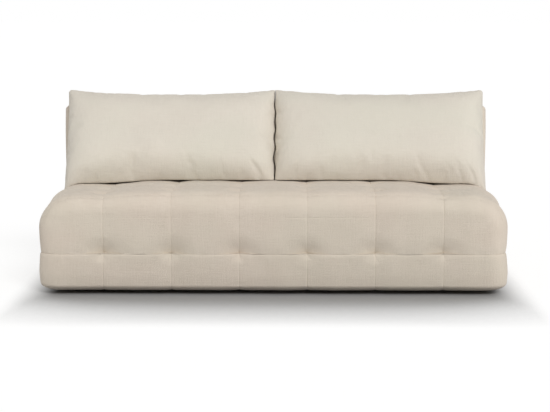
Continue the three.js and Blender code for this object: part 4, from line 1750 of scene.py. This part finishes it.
@dataclass(frozen=True)
class LiftSpring:
    """A wire spring, hooked to the base's hinge plate and to the tail of the seat's arm."""

    side: Side

    def build(self, finish: bpy.types.Material) -> list[bpy.types.Object]:
        """Make the spring, as a copy of the CAD node's wire.

        Args:
            finish: the wire's material.

        Returns:
            The piece.
        """
        name = self.side.name.lower()
        wire = FRAME["nodes"][f"lift_spring_{name}"].data.copy()
        piece = bpy.data.objects.new(f"coil_spring_{name}", wire)
        bpy.context.scene.collection.objects.link(piece)
        dress(piece, finish)
        smooth(piece)
        low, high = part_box(f"lift_spring_{name}")
        foot = (low + high) / 2
        head = foot.copy()
        foot.z, head.z = low.z, high.z
        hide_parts(f"lift_spring_{name}")
        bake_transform(piece)
        return [piece]


@dataclass(frozen=True)
class Sunlight:
    """Even light from far off, with its height above the horizon and its turn to the right."""

    name: str
    strength: float
    elevation: float
    turn: float
    softness: float

    def build(self) -> None:
        """Place the lamp."""
        lamp = bpy.data.lights.new(self.name, "SUN")
        lamp.energy = self.strength * math.pi
        lamp.angle = self.softness
        holder = bpy.data.objects.new(self.name, lamp)
        bpy.context.scene.collection.objects.link(holder)
        level = math.cos(self.elevation)
        right, front = math.sin(self.turn), math.cos(self.turn)
        toward = Vector((level * right, -level * front, math.sin(self.elevation)))
        holder.rotation_euler = (-toward).to_track_quat("-Z", "Y").to_euler()


def seen_share(tree: bpy.types.NodeTree) -> Socket:
    """Tell what is seen, straight or in metal or glass, from all other light.

    Args:
        tree: the nodes of the material or of the world.

    Returns:
        1 for what is seen, and 0 for other light.
    """
    path = tree.nodes.new("ShaderNodeLightPath")
    share = path.outputs["Is Camera Ray"]
    for kind in ("Is Glossy Ray", "Is Transmission Ray"):
        most = tree.nodes.new("ShaderNodeMath")
        most.operation = "MAXIMUM"
        tree.links.new(share, most.inputs[0])
        tree.links.new(path.outputs[kind], most.inputs[1])
        share = most.outputs[0]
    return share


@dataclass(frozen=True)
class Studio:
    """A white room, with soft light from above and from a little in front."""

    floor_colour: Colour = (0.36, 0.36, 0.36)
    # Painted shadow: the floor's colour for bounce light beside the sofa, darker than far off, which also
    # darkens the lower base.
    shadowed_bounce: Colour = (0.25, 0.25, 0.25)
    far_bounce: Colour = (0.97, 0.97, 0.97)
    glow: float = 0.72
    shadow_reach: float = 0.72
    shadow_core: float = 0.63
    shadow_fade: float = 1.75
    shadow_ends: tuple[float, float] = (0.92, 1.13)
    reach: float = 900.0
    thickness: float = 0.02
    sky: float = 0.52
    sky_colour: Colour = (1.0, 0.99, 0.97)
    lamps: tuple[Sunlight, ...] = (
        Sunlight("key_light", 0.50, math.radians(34), math.radians(24), math.radians(25)),
    )

    def build(self) -> None:
        """Make the floor, the lamps and the white surroundings."""
        lines = np.linspace(-self.reach, self.reach, 3)
        slab = [lines, lines, np.array([-self.thickness, 0.0])]
        floor = make_piece("studio_floor", *skin(slab, ALL_SIDES))
        sheet = NodeSheet("studio_floor")
        # Painted shadow: ambient occlusion, faded out beyond the sofa's ends, dims the floor's glow where
        # it is seen and its bounce colour near the sofa.
        nearness = sheet.tree.nodes.new("ShaderNodeAmbientOcclusion")
        nearness.inputs["Distance"].default_value = self.shadow_reach
        openness = sheet.ramp(nearness.outputs["AO"], self.shadow_core, 1.0)
        openness = sheet.math("POWER", openness, self.shadow_fade)
        across = sheet.math("ABSOLUTE", sheet.split(sheet.at())[0])
        openness = sheet.math("MAXIMUM", openness, sheet.ramp(across, *self.shadow_ends, soft=True))
        seen = seen_share(sheet.tree)
        glow = sheet.math("MULTIPLY", sheet.math("MULTIPLY", openness, seen), self.glow)
        bounce = sheet.blend(openness, self.shadowed_bounce, self.far_bounce)
        sheet.set(
            Base_Color=sheet.blend(seen, bounce, self.floor_colour),
            Roughness=0.9,
            Specular_IOR_Level=0.0,
            Emission_Color=(1.0, 1.0, 1.0, 1.0),
            Emission_Strength=glow,
        )
        floor.data.materials.append(sheet.material)
        self.surround()
        for lamp in self.lamps:
            lamp.build()

    def surround(self) -> None:
        """Light the room from all round, and leave it white where the camera sees it."""
        world = bpy.data.worlds.new("studio")
        bpy.context.scene.world = world
        world.use_nodes = True
        tree = world.node_tree
        tree.nodes.clear()
        output = tree.nodes.new("ShaderNodeOutputWorld")
        seen = tree.nodes.new("ShaderNodeBackground")
        seen.inputs["Color"].default_value = (1.0, 1.0, 1.0, 1.0)
        light = tree.nodes.new("ShaderNodeBackground")
        light.inputs["Color"].default_value = (*self.sky_colour, 1.0)
        light.inputs["Strength"].default_value = self.sky
        mix = tree.nodes.new("ShaderNodeMixShader")
        tree.links.new(seen_share(tree), mix.inputs[0])
        tree.links.new(light.outputs[0], mix.inputs[1])
        tree.links.new(seen.outputs[0], mix.inputs[2])
        tree.links.new(mix.outputs[0], output.inputs["Surface"])


@dataclass(frozen=True)
class ProductCamera:
    """The photograph's view: a long lens, a little above the sofa and almost square to it."""

    distance: float = 6.60
    height: float = 1.159
    sideways: float = 0.0871
    pitch: float = math.radians(6.687)
    turn: float = math.radians(0.679)
    focal_length: float = 103.16
    sensor_width: float = 36.0

    def build(self) -> None:
        """Place the camera in front of the seat."""
        lens = bpy.data.cameras.new("product_camera")
        lens.lens = self.focal_length
        lens.sensor_width = self.sensor_width
        holder = bpy.data.objects.new("product_camera", lens)
        bpy.context.scene.collection.objects.link(holder)
        seat_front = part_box("seat_cover")[0].y
        holder.location = (self.sideways, seat_front - self.distance, self.height)
        holder.rotation_euler = (math.pi / 2 - self.pitch, 0.0, self.turn)
        bpy.context.scene.camera = holder


def report(made: Sequence[bpy.types.Object]) -> None:
    """Log the size of each piece."""
    for piece in made:
        log.info("%s: %d faces", piece.name, len(piece.data.polygons))


def corners(bounds: tuple[Vector, Vector]) -> list[list[float]]:
    """A box's two corners as plain lists."""
    return [list(corner) for corner in bounds]


def main() -> None:
    """Build the sofa in order, from the base up."""
    logging.basicConfig(level=logging.INFO, format="%(message)s")
    FRAME.update(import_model())
    bpy.context.scene.view_settings.view_transform = "Standard"
    ProductCamera().build()
    Studio().build()
    cover = Upholstery("cover_fabric").material()
    # The cushions' fabric is a lighter, less pink copy of the cover fabric: painted light, standing in for
    # the brighter light that falls on the cushions.
    lighter_lit_cushion_fabric = Upholstery(
        "cushion_fabric_lighter_lit",
        colour=tint(226, 219, 207),
        shade=tint(213, 205, 193),
        cool=tint(221, 218, 204),
        tilt=-math.radians(31.5),
    ).material()
    foam = Foam().material()
    framework = Framework(
        timber={axis: Timber(axis).material() for axis in Axis},
        board=ChipBoard().material(),
        painted=Metal("painted_steel", tint(40, 41, 43), tint(78, 78, 80), 0.25, 0.42, 45.0).material(),
        zinc=Metal("zinc_plate", tint(186, 190, 196), tint(148, 150, 150), 1.0, 0.34, 120.0).material(),
        plastic=Plastic().material(),
    )
    report(framework.dress())
    for side in Side:
        report(LiftSpring(side).build(framework.zinc))
    seat = SeatUpholstery()
    report(BaseUpholstery().build(seat, cover))
    report(RearLining().build(DustCloth().material()))
    report(seat.build(cover, foam))
    report(BackUpholstery().build(cover, foam))
    for side in Side:
        report(BackCushion(side).build(lighter_lit_cushion_fabric))


if __name__ == "__main__":
    main()
